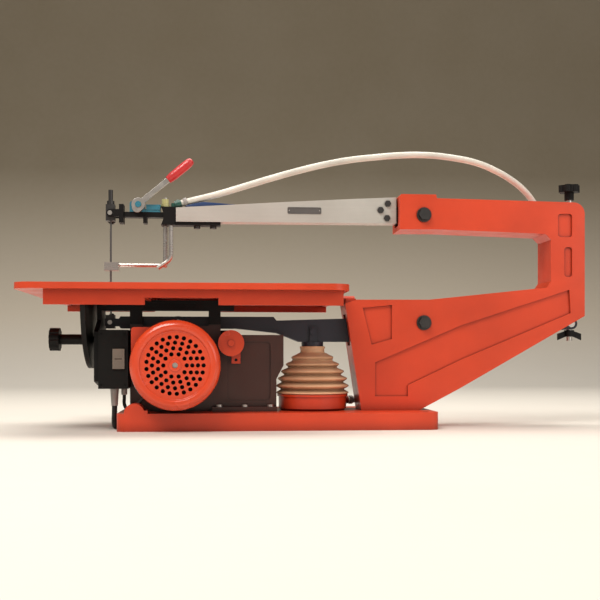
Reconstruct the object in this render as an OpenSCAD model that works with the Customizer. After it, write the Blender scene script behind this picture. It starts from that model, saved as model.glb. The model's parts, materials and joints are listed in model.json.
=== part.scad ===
// Parallel-arm scroll saw: a hollow C-frame on a cast base carries two long arms
// that rock together, joined by the blade at the front and a tension rod at the back.
// X runs from the operator to the rear, Y across the arms, Z up.
// The origin is the centre of the base's bolt holes, on the underside.

/* [Linkage] */
// Height of the upper arm's pivot
upper_z = 289; // [270:1:350]
// Height of the lower arm's pivot
lower_z = 142; // [138:1:168]
// Pivots to the rear tension rod
rod_reach = 214; // [175:1:262]
// Pivots to the blade, which is the throat of the saw
blade_reach = 424; // [410:1:520]
// Throw of the motor's crank
crank_throw = 7.1; // [5:0.1:8]
// Width of the lower arm
arm_w = 20; // [18:1:24]
// Width of the upper arm's tube
tube_w = 22; // [20:1:26]
// Wall of the upper arm's tube
tube_wall = 3; // [2:0.5:3]
// Radius of the two main pivot bolts
pivot_r = 5.5; // [4:0.1:6.6]

/* [Frame] */
// Width over both halves of the C-frame
frame_w = 54; // [50:1:66]
// Wall and rim of the C-frame castings
frame_wall = 6; // [5:0.5:7]
// Depth of the panels cast into the frame's sides
panel_depth = 3; // [1:0.5:3]

/* [Base] */
// Width of the base
base_w = 156; // [150:1:188]
// Height of the base
base_h = 23; // [19:1:28]
// Top plate of the base
base_top = 7; // [5:0.5:9]
// Radius of the bench bolt holes
bench_hole_r = 4.5; // [3:0.5:6]

/* [Table] */
// Width of the table
table_w = 230; // [192:1:276]
// Height of the table's top face
table_z = 188; // [187:1:190]
// Thickness of the table's plate
table_t = 8; // [6:0.5:8]
// Table ahead of the blade
table_front = 108; // [90:1:130]
// Depth of the ribs under the plate
rib_depth = 19; // [15:1:20]
// Radius of the round insert
insert_r = 30; // [26:1:34]
// Radius of the tilt quadrant
quadrant_r = 94; // [78:1:98]

/* [Motor] */
// Radius of the fan cover
motor_r = 57; // [50:1:60]
// Height of the motor's shaft above the base
motor_rise = 62; // [61:1:65]
// Radius of the motor shaft
shaft_r = 6; // [5:0.1:7.2]

/* [Air pump] */
// Radius of the bellows cup
cup_r = 46.5; // [38:0.5:50]
// Height of the bellows cup
cup_h = 22; // [18:1:26]
// Diameter of the air hose
hose_d = 9; // [8:0.5:10]

/* [Electrics] */
// Width of the switch box
box_w = 40; // [34:1:46]
// Height of the switch box
box_h = 76; // [64:1:80]
// Diameter of the power cord
cord_d = 7; // [7:0.5:7]
// Diameter of the motor's lead
lead_d = 4.5; // [4:0.5:5]

/* [Hidden] */
$fn = 48;
run = 0.04;         // radial clearance of a running fit
gap = 1;            // clearance between pieces that pass each other
orange = [0.86, 0.27, 0.13];
dark = [0.16, 0.11, 0.11];
black = [0.08, 0.08, 0.09];
steel = [0.70, 0.71, 0.73];
silver = [0.80, 0.81, 0.82];
blue = [0.10, 0.32, 0.52];

pivot_x = 196;
blade_x = pivot_x - blade_reach;
rod_x = pivot_x + rod_reach;
arm_half = arm_w / 2;
fork_half = 5.5;                     // half the slot in an arm's fork
pin_r = 3;
cheek_h = 10;                        // height of the cheeks that hold the blade clamps
blade_t = 0.8;
blade_end = 3.6;                     // from a clamp's pin to the end of the blade

frame_half = frame_w / 2;
frame_front = pivot_x - 108;
frame_rear = rod_x + 12;
frame_top = upper_z + 20;
frame_corner = 16;
channel = frame_half - frame_wall;
boss_r = 12.5;

base_x0 = blade_x + 15;
base_x1 = pivot_x + 10;
base_r = 12;
bench_x = min(-base_x0, base_x1) - 16;
bench_y = base_w / 2 - 14;

tilt_z = table_z - 15;
tilt_pin_r = 3.5;
lug_r = 6.5;
table_x0 = blade_x - table_front;
table_x1 = frame_front - 4;
plate_z = table_z - table_t;
rib_z = plate_z - rib_depth;
stem_drop = 54;
stem_r = 4;
quadrant_x = blade_x - 28;
quadrant_t = 6;
front_x = blade_x - 15;
front_t = 6;

quad_r = min(quadrant_r, table_w / 2 - 22);

motor_x = blade_x + 91;
motor_z = base_h + motor_rise;
crank_y = -15;
plate_y = -24;
plate_t = 6;
wall_top = base_h + 102;
rail_x1 = frame_front - 150;
rail_drop = lower_z - 24;            // underside of the far rail

bellows_x = pivot_x - 150;
bellows_top = lower_z - 32;

box_x0 = front_x + front_t;
box_y0 = -62;
box_y1 = plate_y;
box_z = 54.5;
block_x = blade_x + 77;
tube_x0 = blade_x + 88;
tube_x1 = pivot_x - 35;

// Route of the power cord from its gland to the coil, from the blade's line
cord_points = [
    [10, -45, 32], [10, -45, 27], [9.7, -43.6, 20], [9, -39.5, 13], [8.5, -33, 8],
    [8, -25, 4.5], [7, -15, 3.5], [6, -3, 3.5], [5, 12, 3.5], [4, 30, 3.5],
    [3.5, 48, 3.5], [4, 64, 3.5], [7, 79, 3.5], [14, 91, 3.5], [25, 100, 3.5],
    [39, 105, 3.5], [56, 107, 3.5], [76, 107.5, 3.5], [96, 107.5, 3.5], [116, 107.5, 3.5]
];
cord_route = [
    for (p = cord_points) [blade_x + p[0], p[1] + (p[1] > 50 ? base_w / 2 - 78 : 0), p[2]]
];
coil_mid = 37.5;
coil_c = cord_route[len(cord_route) - 1] + [0, coil_mid + cord_d, -3.5];

// Route of the motor's lead from its gland to the housing
lead_route = [
    [blade_x + 22, -40, 46], [blade_x + 22, -40, 41], [blade_x + 22, -41, base_h + 13],
    [blade_x + 23.5, -43, base_h + 7.5], [blade_x + 27, -45.5, base_h + 4.3],
    [blade_x + 31.5, -48.5, base_h + 4], [motor_x - 55, -50, motor_z - 55],
    [motor_x - 51, -50, motor_z - 51], [motor_x - 47, -50, motor_z - 47],
    [motor_x - 43, -50, motor_z - 43]
];

// Route of the air hose: forwards of the pivots it follows the reach of the arm,
// rearwards that of the tension rod, and its height that of the upper arm
hose_over = [
    [-329, 0, 281.5], [-318, 0, 284.5], [-304, 0, 288], [-276, 0, 295.5], [-249, 0, 304],
    [-208, 0, 317], [-167, 0, 329], [-132, 1, 338], [-98, 3, 345], [-63, 6, 350],
    [-28, 9, 354], [9, 13, 356], [50, 18, 354], [88, 23, 348], [116, 29, 339],
    [141, 34, 327], [161, 38, 313], [177, 41, 295], [188, 43, 275], [195, 44, 251],
    [198, 44, 225], [197, 44, 197], [193, 45, 169], [184, 46, 141], [170, 47, 115],
    [150, 48, 89], [124, 48, 67], [94, 48, 49], [60, 48, 35], [24, 48, 25]
];
hose_back = [
    [-12, 47, 19], [-42, 45, 15], [-66, 41, 13], [-83, 35, 12], [-98, 29, 12]
];
hose_h = (upper_z + 15.5 - base_h) / 281.5;
hose_s = (pivot_x - tube_x0 - 7) / 329;
function hose_point(p, s) = [
    pivot_x + p[0] * (p[0] < 0 ? s : rod_reach / 214), p[1] * frame_half / 27, base_h + p[2] * hose_h
];
hose_route = concat(
    [for (p = hose_over) hose_point(p, hose_s)],
    [for (p = hose_back) [pivot_x + p[0], p[1] * frame_half / 27, base_h + p[2]]]
);

// ---- helpers -------------------------------------------------------------

// A side-view outline (X, Z) made into a slab from y0 to y1
module slab(y0, y1) {
    translate([0, y1, 0]) rotate([90, 0, 0]) linear_extrude(y1 - y0) children();
}

// A front-view outline (Y, Z) made into a slab from x0 to x1
module cross_slab(x0, x1) {
    translate([x0, 0, 0]) rotate([90, 0, 90]) linear_extrude(x1 - x0) children();
}

module rod_x(y, z, r, x0, x1) translate([x0, y, z]) rotate([0, 90, 0]) cylinder(r = r, h = x1 - x0);
module rod_y(x, z, r, y0, y1) translate([x, y1, z]) rotate([90, 0, 0]) cylinder(r = r, h = y1 - y0);
module rod_z(x, y, r, z0, z1) translate([x, y, z0]) cylinder(r = r, h = z1 - z0);
module block(x0, x1, y0, y1, z0, z1) translate([x0, y0, z0]) cube([x1 - x0, y1 - y0, z1 - z0]);

// A flat rectangle with true round corners
module round_rect(x0, x1, y0, y1, r) {
    translate([x0 + r, y0]) square([x1 - x0 - 2 * r, y1 - y0]);
    translate([x0, y0 + r]) square([x1 - x0, y1 - y0 - 2 * r]);
    for (x = [x0 + r, x1 - r], y = [y0 + r, y1 - r]) translate([x, y]) circle(r);
}

// A round bar with a thin dark hexagon head, pointing along -Y
module bolt_y(x, z, r, y_head, y_end, head) {
    rod_y(x, z, r, y_head, y_end);
    translate([x, y_head, z]) rotate([90, 0, 0]) cylinder(r = head, h = r, $fn = 6);
}

// A slot in the shape of an arc, about the origin
module arc_slot(radius, half, a0, a1) {
    steps = 12;
    turn = (a1 - a0) / steps;
    offset(r = half - 0.1) polygon(concat(
        [for (i = [0:steps]) (radius - 0.1) * [cos(a0 + turn * i), sin(a0 + turn * i)]],
        [for (i = [steps:-1:0]) (radius + 0.1) * [cos(a0 + turn * i), sin(a0 + turn * i)]]
    ));
}

// A tube swept along points, one ring at each point
function unit(v) = v / norm(v);
function ring(p, t, r, side, n) =
    let (u = unit(cross(t, side)), w = cross(t, u))
    [for (i = [0:n - 1]) p + r * (cos(360 * i / n) * u + sin(360 * i / n) * w)];
function heading(route, i) =
    unit(route[min(i + 1, len(route) - 1)] - route[max(i - 1, 0)]);
module swept_tube(route, r, side, n = 10) {
    last = len(route) - 1;
    corners = [for (i = [0:last]) each ring(route[i], heading(route, i), r, side, n)];
    sides = [
        for (i = [0:last - 1], k = [0:n - 1])
            each let (a = i * n + k, b = i * n + (k + 1) % n)
            [[a, b, b + n], [a, b + n, a + n]]
    ];
    ends = [[for (k = [n - 1:-1:0]) k], [for (k = [0:n - 1]) last * n + k]];
    polyhedron(corners, concat(sides, ends));
}

// ---- base and frame --------------------------------------------------------

module bench_holes(r, z0, z1) {
    for (x = [-bench_x, bench_x], y = [-bench_y, bench_y]) rod_z(x, y, r, z0, z1);
}

module base_casting() {
    wall = 8;
    hump_x = base_x0 + 23;
    color(orange) difference() {
        union() {
            difference() {
                linear_extrude(base_h)
                    round_rect(base_x0, base_x1, -base_w / 2, base_w / 2, base_r);
                translate([0, 0, -1]) linear_extrude(base_h - base_top + 1)
                    round_rect(base_x0 + wall, base_x1 - wall,
                        wall - base_w / 2, base_w / 2 - wall, base_r / 2);
            }
            bench_holes(11, 0, base_h - 1);
            for (x = [0.25, 0.5, 0.75])
                translate([base_x0 + x * (base_x1 - base_x0) - 3, 3 - base_w / 2, 0])
                    cube([6, base_w - 6, base_h - base_top + 1]);
            // raised foot at the operator's end, round on top
            slab(-base_w / 2, 24 - base_w / 2) difference() {
                union() {
                    translate([hump_x, base_h]) circle(13);
                    translate([hump_x, base_h - 5]) square([17, 9]);
                }
                translate([hump_x - 20, 0]) square([60, base_h - base_top]);
            }
        }
        bench_holes(bench_hole_r, -1, base_h + 30);
        bench_holes(8, base_h + 4, base_h + 30);
        for (y = [-13, 13]) foot_bolt_holes(y, 2.6);
        for (p = plate_bolts) rod_z(p[0], p[1], 2.5, base_h - 8, base_h + 1);
    }
}

module foot_bolt_holes(y, r) {
    for (x = [frame_front + 34, pivot_x - 20]) rod_z(x, y, r, base_h - base_top - 1, base_h + 14);
}

module frame_outline() {
    polygon([
        [frame_front, lower_z + 26], [frame_front + 22, base_h], [pivot_x - 6, base_h],
        [pivot_x + 51, base_h + 30], [frame_rear, lower_z + 10],
        [frame_rear, frame_top - frame_corner], [frame_rear - frame_corner, frame_top],
        [pivot_x + 18, upper_z + 23], [pivot_x + 17, upper_z + 28],
        [pivot_x - 31, upper_z + 28], [pivot_x - 33, upper_z + 25],
        [pivot_x - 33, upper_z - 20], [pivot_x + 18, upper_z - 19.5],
        [rod_x - 44, upper_z - 24], [rod_x - 36, upper_z - 32], [rod_x - 36, lower_z + 58],
        [rod_x - 42, lower_z + 49], [pivot_x + 8, lower_z + 31.5],
        [frame_front + 16, lower_z + 31]
    ]);
    translate([frame_rear - frame_corner, frame_top - frame_corner]) circle(frame_corner);
}

// Where the screws that join the two halves sit
frame_screws = [
    [frame_front + 50, base_h + 38], [pivot_x + 14, base_h + 50],
    [pivot_x + rod_reach / 2, lower_z - 36], [pivot_x + rod_reach / 2, lower_z + 29],
    [rod_x - 22, upper_z - 36], [pivot_x - 6, upper_z + 21]
];

// The panels cast into the side: under the diagonal rib, and down the column
module side_panels() {
    polygon([
        [pivot_x - 67, lower_z - 54], [pivot_x - 67, base_h + 19], [pivot_x - 22, base_h + 19],
        [pivot_x - 22, base_h + 34], [pivot_x + 50, lower_z - 51], [rod_x - 8, lower_z + 14],
        [rod_x - 10, lower_z + 46], [pivot_x + 50, lower_z - 4]
    ]);
    polygon([
        [pivot_x - 84, lower_z + 20], [pivot_x - 72, lower_z - 30], [pivot_x - 44, lower_z - 22],
        [pivot_x - 44, lower_z + 24]
    ]);
    round_rect(rod_x - 17, rod_x - 6, lower_z + 64, upper_z - 42, 4);
    round_rect(rod_x - 26, rod_x - 6, upper_z - 28, upper_z + 4, 4);
}

// One half of the frame, its outer side towards -Y
module frame_half_body() {
    difference() {
        union() {
            difference() {
                slab(-frame_half, 0) frame_outline();
                slab(-channel, 1) offset(delta = -frame_wall) frame_outline();
            }
            for (p = frame_screws) rod_y(p[0], p[1], 7, -channel - 1, 0);
            for (z = [lower_z, upper_z]) rod_y(pivot_x, z, boss_r, -channel - 1, -arm_half - gap);
            block(frame_front + 26, pivot_x - 12, -20, 0, base_h, base_h + 15);
        }
        for (z = [lower_z, upper_z]) rod_y(pivot_x, z, pivot_r, -frame_half - 1, 0);
        slab(-frame_half - 1, panel_depth - frame_half) side_panels();
        // mouths for the arms, the tension rod and the lower arm's tail
        slab(-arm_half - 2.5, 1) {
            translate([pivot_x - 40, upper_z - 13.5]) square([30, 27]);
            translate([frame_front - 2, lower_z - 31]) square([30, 43]);
            translate([rod_x - 62, lower_z - 42]) square([71, 54]);
            translate([rod_x - 20, lower_z - 42]) square([29.5, upper_z - lower_z + 46.6]);
            translate([rod_x, upper_z + 4.6]) circle(9.5);
        }
        rod_z(rod_x, 0, 9, frame_top - frame_wall - 8, frame_top + 5);
        foot_bolt_holes(-13, 2.5);
        for (p = frame_screws) rod_y(p[0], p[1], 2.5, -channel + 2, 1);
    }
}

module frame_near_half() {
    color(orange) difference() {
        union() {
            frame_half_body();
            // lug for the table's rear pivot, on the centre line
            rod_x(0, tilt_z, lug_r, frame_front - 1, frame_front + 16);
            block(frame_front + 2, frame_front + 16, -18, 0, lower_z + 25, tilt_z + 2);
        }
        rod_x(0, tilt_z, tilt_pin_r, frame_front - 2, frame_front + 14);
    }
}

module frame_far_half() {
    color(orange) difference() {
        mirror([0, 1, 0]) frame_half_body();
        block(frame_front - 2, frame_front + 17, -1, lug_r + 1, tilt_z - lug_r - 1, tilt_z + 12);
        for (p = frame_screws) rod_y(p[0], p[1], 2.5, -1, frame_half + 1);
    }
}

module body_bolts() {
    color(steel) {
        // screws that join the two halves, from the far side
        for (p = frame_screws) {
            rod_y(p[0], p[1], 2.4, -channel + 4, frame_half);
            translate([p[0], frame_half + 4, p[1]]) rotate([90, 0, 0]) difference() {
                cylinder(r = 4.5, h = 4);
                translate([0, 0, -1]) cylinder(r = 2.3, h = 3, $fn = 6);
            }
        }
        // screws that hold the frame to the base, from below
        for (y = [-13, 13], x = [frame_front + 34, pivot_x - 20]) {
            rod_z(x, y, 2.4, base_h - base_top, base_h + 12);
            translate([x, y, base_h - base_top - 3.5]) cylinder(r = 5, h = 3.5, $fn = 6);
        }
        // screws through the motor plate's foot and the motor's ears
        for (p = plate_bolts) {
            rod_z(p[0], p[1], 2.4, base_h - 6, base_h + 6);
            rod_z(p[0], p[1], 4.5, base_h + 6, base_h + 9);
        }
        for (p = ear_places)
            bolt_y(motor_x + p[0], motor_z + p[1], 2.4, plate_y - 7, plate_y + plate_t, 4.6);
    }
}

module pivot_bolts() {
    color(dark) for (z = [lower_z, upper_z]) {
        rod_y(pivot_x, z, pivot_r, -frame_half - 2, frame_half + 8);
        rod_y(pivot_x, z, 10, -frame_half - 2, -frame_half);
        translate([pivot_x, -frame_half - 2, z]) rotate([90, 0, 0]) cylinder(r = 8, h = 4.5, $fn = 6);
        translate([pivot_x, frame_half + 6.5, z]) rotate([90, 0, 0]) difference() {
            cylinder(r = 8.5, h = 6.5, $fn = 6);
            translate([0, 0, -1]) cylinder(r = pivot_r, h = 9);
        }
    }
}

// ---- motor and its supports -------------------------------------------------

plate_x1 = bellows_x - cup_r - 4.5;
plate_x0 = motor_x - 63;
plate_bolts = [
    [motor_x + 55, plate_y - 9], [(motor_x + 55 + plate_x1 - 9) / 2, plate_y - 9],
    [plate_x1 - 9, plate_y - 9], [rail_x1 - 20, 29], [rail_x1 + 2, 29]
];
gland_seat = motor_r - 4.5;          // from the motor's axis to the lead's gland
ear_r = motor_r - 7.5;               // radius of the ring of through-bolts
ear_places = [for (a = [41, 139, 221, 319]) ear_r * [cos(a), sin(a)]];

module motor_plate() {
    color(dark) difference() {
        union() {
            slab(plate_y, plate_y + plate_t) {
                polygon([
                    [plate_x0, base_h], [plate_x1, base_h], [plate_x1, base_h + 43],
                    [plate_x1 + 9.5, base_h + 61], [plate_x1 + 9.5, wall_top], [plate_x0, wall_top]
                ]);
                translate([plate_x0, base_h])
                    square([motor_x + 57 - plate_x0, motor_z + 52 - base_h]);
                for (x = [plate_x0, motor_x + 41])
                    translate([x, motor_z]) square([16, lower_z + 15 - motor_z]);
            }
            block(motor_x + 46, plate_x1, plate_y - 18, plate_y + 1, base_h, base_h + 6);
            block(plate_x0 + 10, plate_x1, plate_y + 1, plate_y + 14, base_h, base_h + 6);
        }
        rod_y(motor_x, motor_z, 20, plate_y - 1, plate_y + plate_t + 1);
        for (p = ear_places)
            rod_y(motor_x + p[0], motor_z + p[1], 2.5, plate_y - 1, plate_y + plate_t + 1);
        for (p = plate_bolts) rod_z(p[0], p[1], 2.5, base_h - 1, base_h + 7);
        slab(plate_y - 1, plate_y + 2)
            round_rect(motor_x + 66, plate_x1 - 8, base_h + 14, wall_top - 9, 6);
    }
}

module table_rails() {
    color(black) {
        difference() {
            union() {
                block(front_x + front_t, rail_x1, plate_y - 2, plate_y + 10, lower_z + 15, lower_z + 29);
                for (x = [plate_x0, motor_x + 41])
                    block(x, x + 16, plate_y - 2, plate_y, lower_z - 3, lower_z + 16);
            }
            slab(plate_y - 3, plate_y)
                round_rect(front_x + 60, front_x + 130, lower_z + 18.5, lower_z + 25.5, 3);
        }
        // far rail with its post down to the base
        difference() {
            union() {
                block(front_x + front_t, rail_x1, 14, 24, rail_drop, rail_drop + 14);
                block(rail_x1 - 18, rail_x1, 14, 24, base_h, rail_drop + 1);
                block(rail_x1 - 26, rail_x1 + 8, 14, 36, base_h, base_h + 6);
            }
            for (p = plate_bolts) rod_z(p[0], p[1], 2.5, base_h - 1, base_h + 7);
        }
    }
}

module front_plate() {
    stem_z = tilt_z - stem_drop;
    color(black) difference() {
        union() {
            cross_slab(front_x, front_x + front_t) {
                translate([0, tilt_z]) circle(lug_r);
                polygon([
                    [-26, tilt_z - 2], [-26, tilt_z - 29], [-58, tilt_z - 45], [-58, tilt_z - 109],
                    [-24, tilt_z - 115], [8, tilt_z - 70], [24, rail_drop - 2],
                    [24, rail_drop + 32], [8, tilt_z - 2]
                ]);
            }
            rod_x(0, stem_z, 9, front_x - 5, front_x + front_t);
        }
        rod_x(0, tilt_z, tilt_pin_r, front_x - 1, front_x + front_t + 1);
        rod_x(0, stem_z, stem_r + run, front_x - 6, front_x + front_t + 1);
    }
}

// Places a shape drawn along +Z on the motor's axis, with Z towards the fan
module on_motor() {
    translate([motor_x, 0, motor_z]) rotate([90, 0, 0]) children();
}

module motor_end_shield() {
    seat = -plate_y;
    color(orange) on_motor() difference() {
        union() {
            translate([0, 0, seat]) cylinder(r = motor_r - 1.5, h = 7);
            translate([0, 0, seat + 5]) cylinder(r = 20, h = 7);
        }
        translate([0, 0, seat - 1]) cylinder(r = 14, h = 9);
        translate([0, 0, seat]) cylinder(r = shaft_r + 2, h = 20);
        for (p = ear_places) translate([p[0], p[1], seat - 1]) cylinder(r = 2.5, h = 12);
    }
}

module motor_housing() {
    near = -plate_y + 7;
    color(orange) on_motor() difference() {
        translate([0, 0, near]) linear_extrude(51) difference() {
            union() {
                circle(motor_r - 2);
                round_rect(-motor_r + 0.5, -30, 8, 48.5, 4);
            }
            // grooves all round, but for the terminal box and where the lead goes in
            for (a = [4:8:356]) if (abs(a - 225) > 8 && abs(a - 145) > 35)
                rotate(a) translate([motor_r - 6, -1.3]) square([30, 2.6]);
        }
        translate([0, 0, near - 1]) cylinder(r = motor_r - 10.5, h = 46);
        translate([0, 0, near + 40]) cylinder(r = 14, h = 15);
        for (p = ear_places) translate([p[0], p[1], near - 1]) rotate(atan2(p[1], p[0])) {
            cylinder(r = 6, h = 7);
            translate([0, -6, 0]) cube([26, 12, 7]);
        }
        rotate(225) translate([gland_seat, 0, 50]) rotate([0, 90, 0]) cylinder(r = 5, h = 8);
    }
}

module motor_stator() {
    color([0.45, 0.30, 0.20]) on_motor() translate([0, 0, 42]) difference() {
        cylinder(r = motor_r - 10.5, h = 30);
        translate([0, 0, -1]) cylinder(r = 30, h = 32);
    }
}

module motor_bearings() {
    color(steel) on_motor() for (z = [-plate_y, 52 - plate_y]) translate([0, 0, z]) difference() {
        cylinder(r = 14, h = 6);
        translate([0, 0, -1]) cylinder(r = shaft_r + run, h = 8);
        translate([0, 0, -1]) rotate_extrude() translate([9.2, 0]) square([1.6, 2]);
        translate([0, 0, 5]) rotate_extrude() translate([9.2, 0]) square([1.6, 2]);
    }
}

module fan_cover() {
    back = 58 - plate_y;
    front = 110;
    color(orange) on_motor() difference() {
        union() {
            rotate_extrude($fn = 72) polygon([
                [motor_r - 5, back], [motor_r, back], [motor_r, front - 9],
                [motor_r - 0.8, front - 5.2], [motor_r - 3.2, front - 2], [motor_r - 6.6, front],
                [motor_r - 10, front], [motor_r - 12.4, front - 0.8], [motor_r - 14, front - 3],
                [0, front - 3], [0, front - 5], [motor_r - 12.5, front - 5],
                [motor_r - 7, front - 3], [motor_r - 3.4, front - 6],
                [motor_r - 3.4, back + 4], [motor_r - 5, back + 2]
            ]);
            translate([0, 0, front - 5]) cylinder(r = 7.5, h = 3.5);
        }
        translate([0, 0, front - 7]) cylinder(r = 3.4, h = 8);
        for (k = [0:3], i = [0:9 + 5 * k]) rotate(360 * i / (10 + 5 * k))
            translate([14.5 + 7 * k, 0, front - 7]) cylinder(r = 2.6, h = 6, $fn = 16);
    }
}

module capacitor() {
    cap_x = motor_x + motor_r + 13.5;
    cap_z = motor_z + 28.5;
    color(orange) {
        rod_y(cap_x, cap_z, 17, -62, plate_y);
        rod_y(cap_x, cap_z, 4, -66, -61);
        difference() {
            block(cap_x + 1, cap_x + 13, plate_y - 4, plate_y, cap_z - 27, cap_z - 10);
            rod_y(cap_x + 7, cap_z - 22, 2, plate_y - 5, plate_y + 1);
        }
    }
}

module motor_shaft() {
    color(steel) on_motor() cylinder_between(shaft_r, 7.5, 103);
}

module cylinder_between(r, z0, z1) translate([0, 0, z0]) cylinder(r = r, h = z1 - z0);

module rotor_core() {
    color(steel) on_motor() translate([0, 0, 42]) difference() {
        cylinder(r = 29.4, h = 30);
        translate([0, 0, -1]) cylinder(r = shaft_r, h = 32);
    }
}

module cooling_fan() {
    color(black) on_motor() translate([0, 0, 88]) difference() {
        union() {
            cylinder(r = 11, h = 12);
            cylinder(r = 46, h = 2);
            for (a = [0:40:320]) rotate(a) translate([9, -1, 0]) cube([36, 2, 12]);
        }
        translate([0, 0, -1]) cylinder(r = shaft_r, h = 14);
    }
}

module crank() {
    color(steel) on_motor() difference() {
        union() {
            cylinder_between(16, 7, -crank_y);
            translate([crank_throw, 0, -2.5]) cylinder(r = 4, h = 10);
        }
        translate([0, 0, 7.5]) cylinder(r = shaft_r, h = 10);
    }
}

module connecting_rod() {
    room_x = 4 + crank_throw + gap;
    room_z = room_x + crank_throw;
    color(steel) difference() {
        slab(-5, 5) {
            for (s = [-1, 1]) translate([motor_x, motor_z + s * (room_z - room_x)]) circle(room_x + 4);
            translate([motor_x - room_x - 4, motor_z - (room_z - room_x)])
                square([2 * room_x + 8, 2 * (room_z - room_x)]);
            translate([motor_x - 6, motor_z + 10]) square([12, lower_z - motor_z - 10]);
            translate([motor_x, lower_z]) circle(9);
        }
        slab(-6, 3) {
            for (s = [-1, 1]) translate([motor_x, motor_z + s * (room_z - room_x)]) circle(room_x);
            translate([motor_x - room_x, motor_z - (room_z - room_x)])
                square([2 * room_x, 2 * (room_z - room_x)]);
        }
        rod_y(motor_x, lower_z, 4 + run, -6, 6);
    }
}

// ---- arms -------------------------------------------------------------------

module lower_arm() {
    nose_x = blade_x - 7;
    color([0.10, 0.10, 0.16]) difference() {
        slab(-arm_half, arm_half) {
            polygon([
                [nose_x, lower_z - cheek_h / 2], [blade_x + 12, lower_z - cheek_h / 2],
                [blade_x + 14, lower_z - 8], [frame_front - 148, lower_z - 8],
                [frame_front - 92, lower_z - 14], [frame_front - 62, lower_z - 26],
                [frame_front + 10, lower_z - 26], [pivot_x - 40, lower_z - 20],
                [pivot_x, lower_z - 17], [rod_x, lower_z - 8], [rod_x, lower_z + 8],
                [pivot_x, lower_z + 17], [pivot_x - 40, lower_z + 8],
                [frame_front - 92, lower_z + 3], [frame_front - 96, lower_z + 8],
                [blade_x + 14, lower_z + 8], [blade_x + 12, lower_z + cheek_h / 2],
                [nose_x, lower_z + cheek_h / 2]
            ]);
            translate([pivot_x, lower_z]) circle(17);
            translate([rod_x, lower_z]) circle(8);
        }
        rod_y(pivot_x, lower_z, pivot_r + 3.5, -arm_half - 1, arm_half + 1);
        block(nose_x - 1, blade_x + 10, -6.6, 6.6, lower_z - 9, lower_z + 9);
        rod_y(blade_x, lower_z, pin_r, -arm_half - 1, arm_half + 1);
        block(motor_x - 13, motor_x + 13, -fork_half, fork_half, lower_z - 11, lower_z + 11);
        rod_y(motor_x, lower_z, 4, -arm_half - 1, arm_half + 1);
        block(rod_x - 16, rod_x + 10, -fork_half, fork_half, lower_z - 11, lower_z + 11);
        rod_y(rod_x, lower_z, 5 + run, -arm_half - 1, arm_half + 1);
        // lightening pockets along the sides
        for (s = [-1, 1]) translate([0, s * (arm_half - 1), 0]) slab(-2, 2)
            round_rect(pivot_x + 30, rod_x - 30, lower_z - 4.5, lower_z + 4.5, 4);
    }
}

module bush(z) {
    difference() {
        rod_y(pivot_x, z, pivot_r + 3.5, -arm_half - 0.4, arm_half + 0.4);
        rod_y(pivot_x, z, pivot_r + run, -arm_half - 1, arm_half + 1);
    }
}

module lower_bushes() {
    color([0.70, 0.50, 0.25]) bush(lower_z);
}

module upper_bushes() {
    color([0.70, 0.50, 0.25]) bush(upper_z);
}

module lower_pins() {
    color(steel) {
        rod_y(blade_x, lower_z, pin_r, -arm_half - 1, arm_half + 1);
        rod_y(motor_x, lower_z, 4, -arm_half - 1, arm_half + 1);
    }
}

module blade_pin() {
    color(steel) rod_y(blade_x, upper_z, pin_r, -arm_half - 1, arm_half + 1);
}

module bellows_bracket() {
    color(steel) {
        rod_z(bellows_x, 0, 15, bellows_top, lower_z - 26);
        difference() {
            block(bellows_x - 5, bellows_x + 5, -arm_half - 3, -arm_half, bellows_top, lower_z - 5);
            rod_y(bellows_x, lower_z - 12, 2.6, -arm_half - 4, -arm_half + 1);
        }
        rod_y(bellows_x, lower_z - 12, 4.5, -arm_half - 6, -arm_half - 3);
    }
}

// Rings of the bellows: each is a peak on a cone that narrows upwards
module bellows() {
    rise = bellows_top - base_h - cup_h;
    pleats = 6;
    step = (rise - 10) / pleats;
    function reach(k) = 17 + (cup_r - 14) * pow(1 - k / pleats, 0.28);
    color([0.80, 0.58, 0.38]) translate([bellows_x, 0, base_h + cup_h]) rotate_extrude()
        polygon([
            [0, 0],
            for (k = [0:pleats - 1]) each [
                [reach(k) + 0.5, step * k], [reach(k), step * (k + 0.35)],
                [reach(k) - 6, step * (k + 0.8)]
            ],
            [17, rise - 10], [15, rise - 6], [15, rise], [0, rise]
        ]);
}

module bellows_cup() {
    color(orange) difference() {
        union() {
            translate([bellows_x, 0, base_h]) rotate_extrude($fn = 64) polygon([
                [0, 0], [cup_r - 3, 0], [cup_r, 3], [cup_r, cup_h - 3], [cup_r + 2, cup_h - 3],
                [cup_r + 2, cup_h], [cup_r - 3, cup_h], [cup_r - 3, 4], [0, 4]
            ]);
            nipple_at() cylinder(r = hose_d / 2 + 1, h = norm(hose_end - [bellows_x, 0]) - cup_r + 1.5);
        }
        nipple_at() translate([0, 0, -2]) cylinder(r = 2, h = 30);
    }
}

// The hose nipple on the cup's side, where the hose's route ends
hose_last = hose_route[len(hose_route) - 1];
hose_end = [hose_last[0], hose_last[1]];
hose_aim = heading(hose_route, len(hose_route) - 1);
module nipple_at() {
    translate(hose_last) rotate([0, 0, atan2(-hose_aim[1], -hose_aim[0])]) rotate([0, -90, 0]) children();
}

module upper_arm_outline() {
    polygon([
        [tube_x0, upper_z - 11], [tube_x1, upper_z - 10], [tube_x1, upper_z + 26],
        [tube_x1 - 60, upper_z + 23], [pivot_x - 180, upper_z + 18], [tube_x0, upper_z + 8]
    ]);
}

lever_screws = [[tube_x1 - 12, upper_z + 17], [tube_x1 - 13, upper_z - 3], [tube_x1 - 22, upper_z + 8]];
nose_screws = [tube_x0 + 28, tube_x0 + 50];

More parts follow.
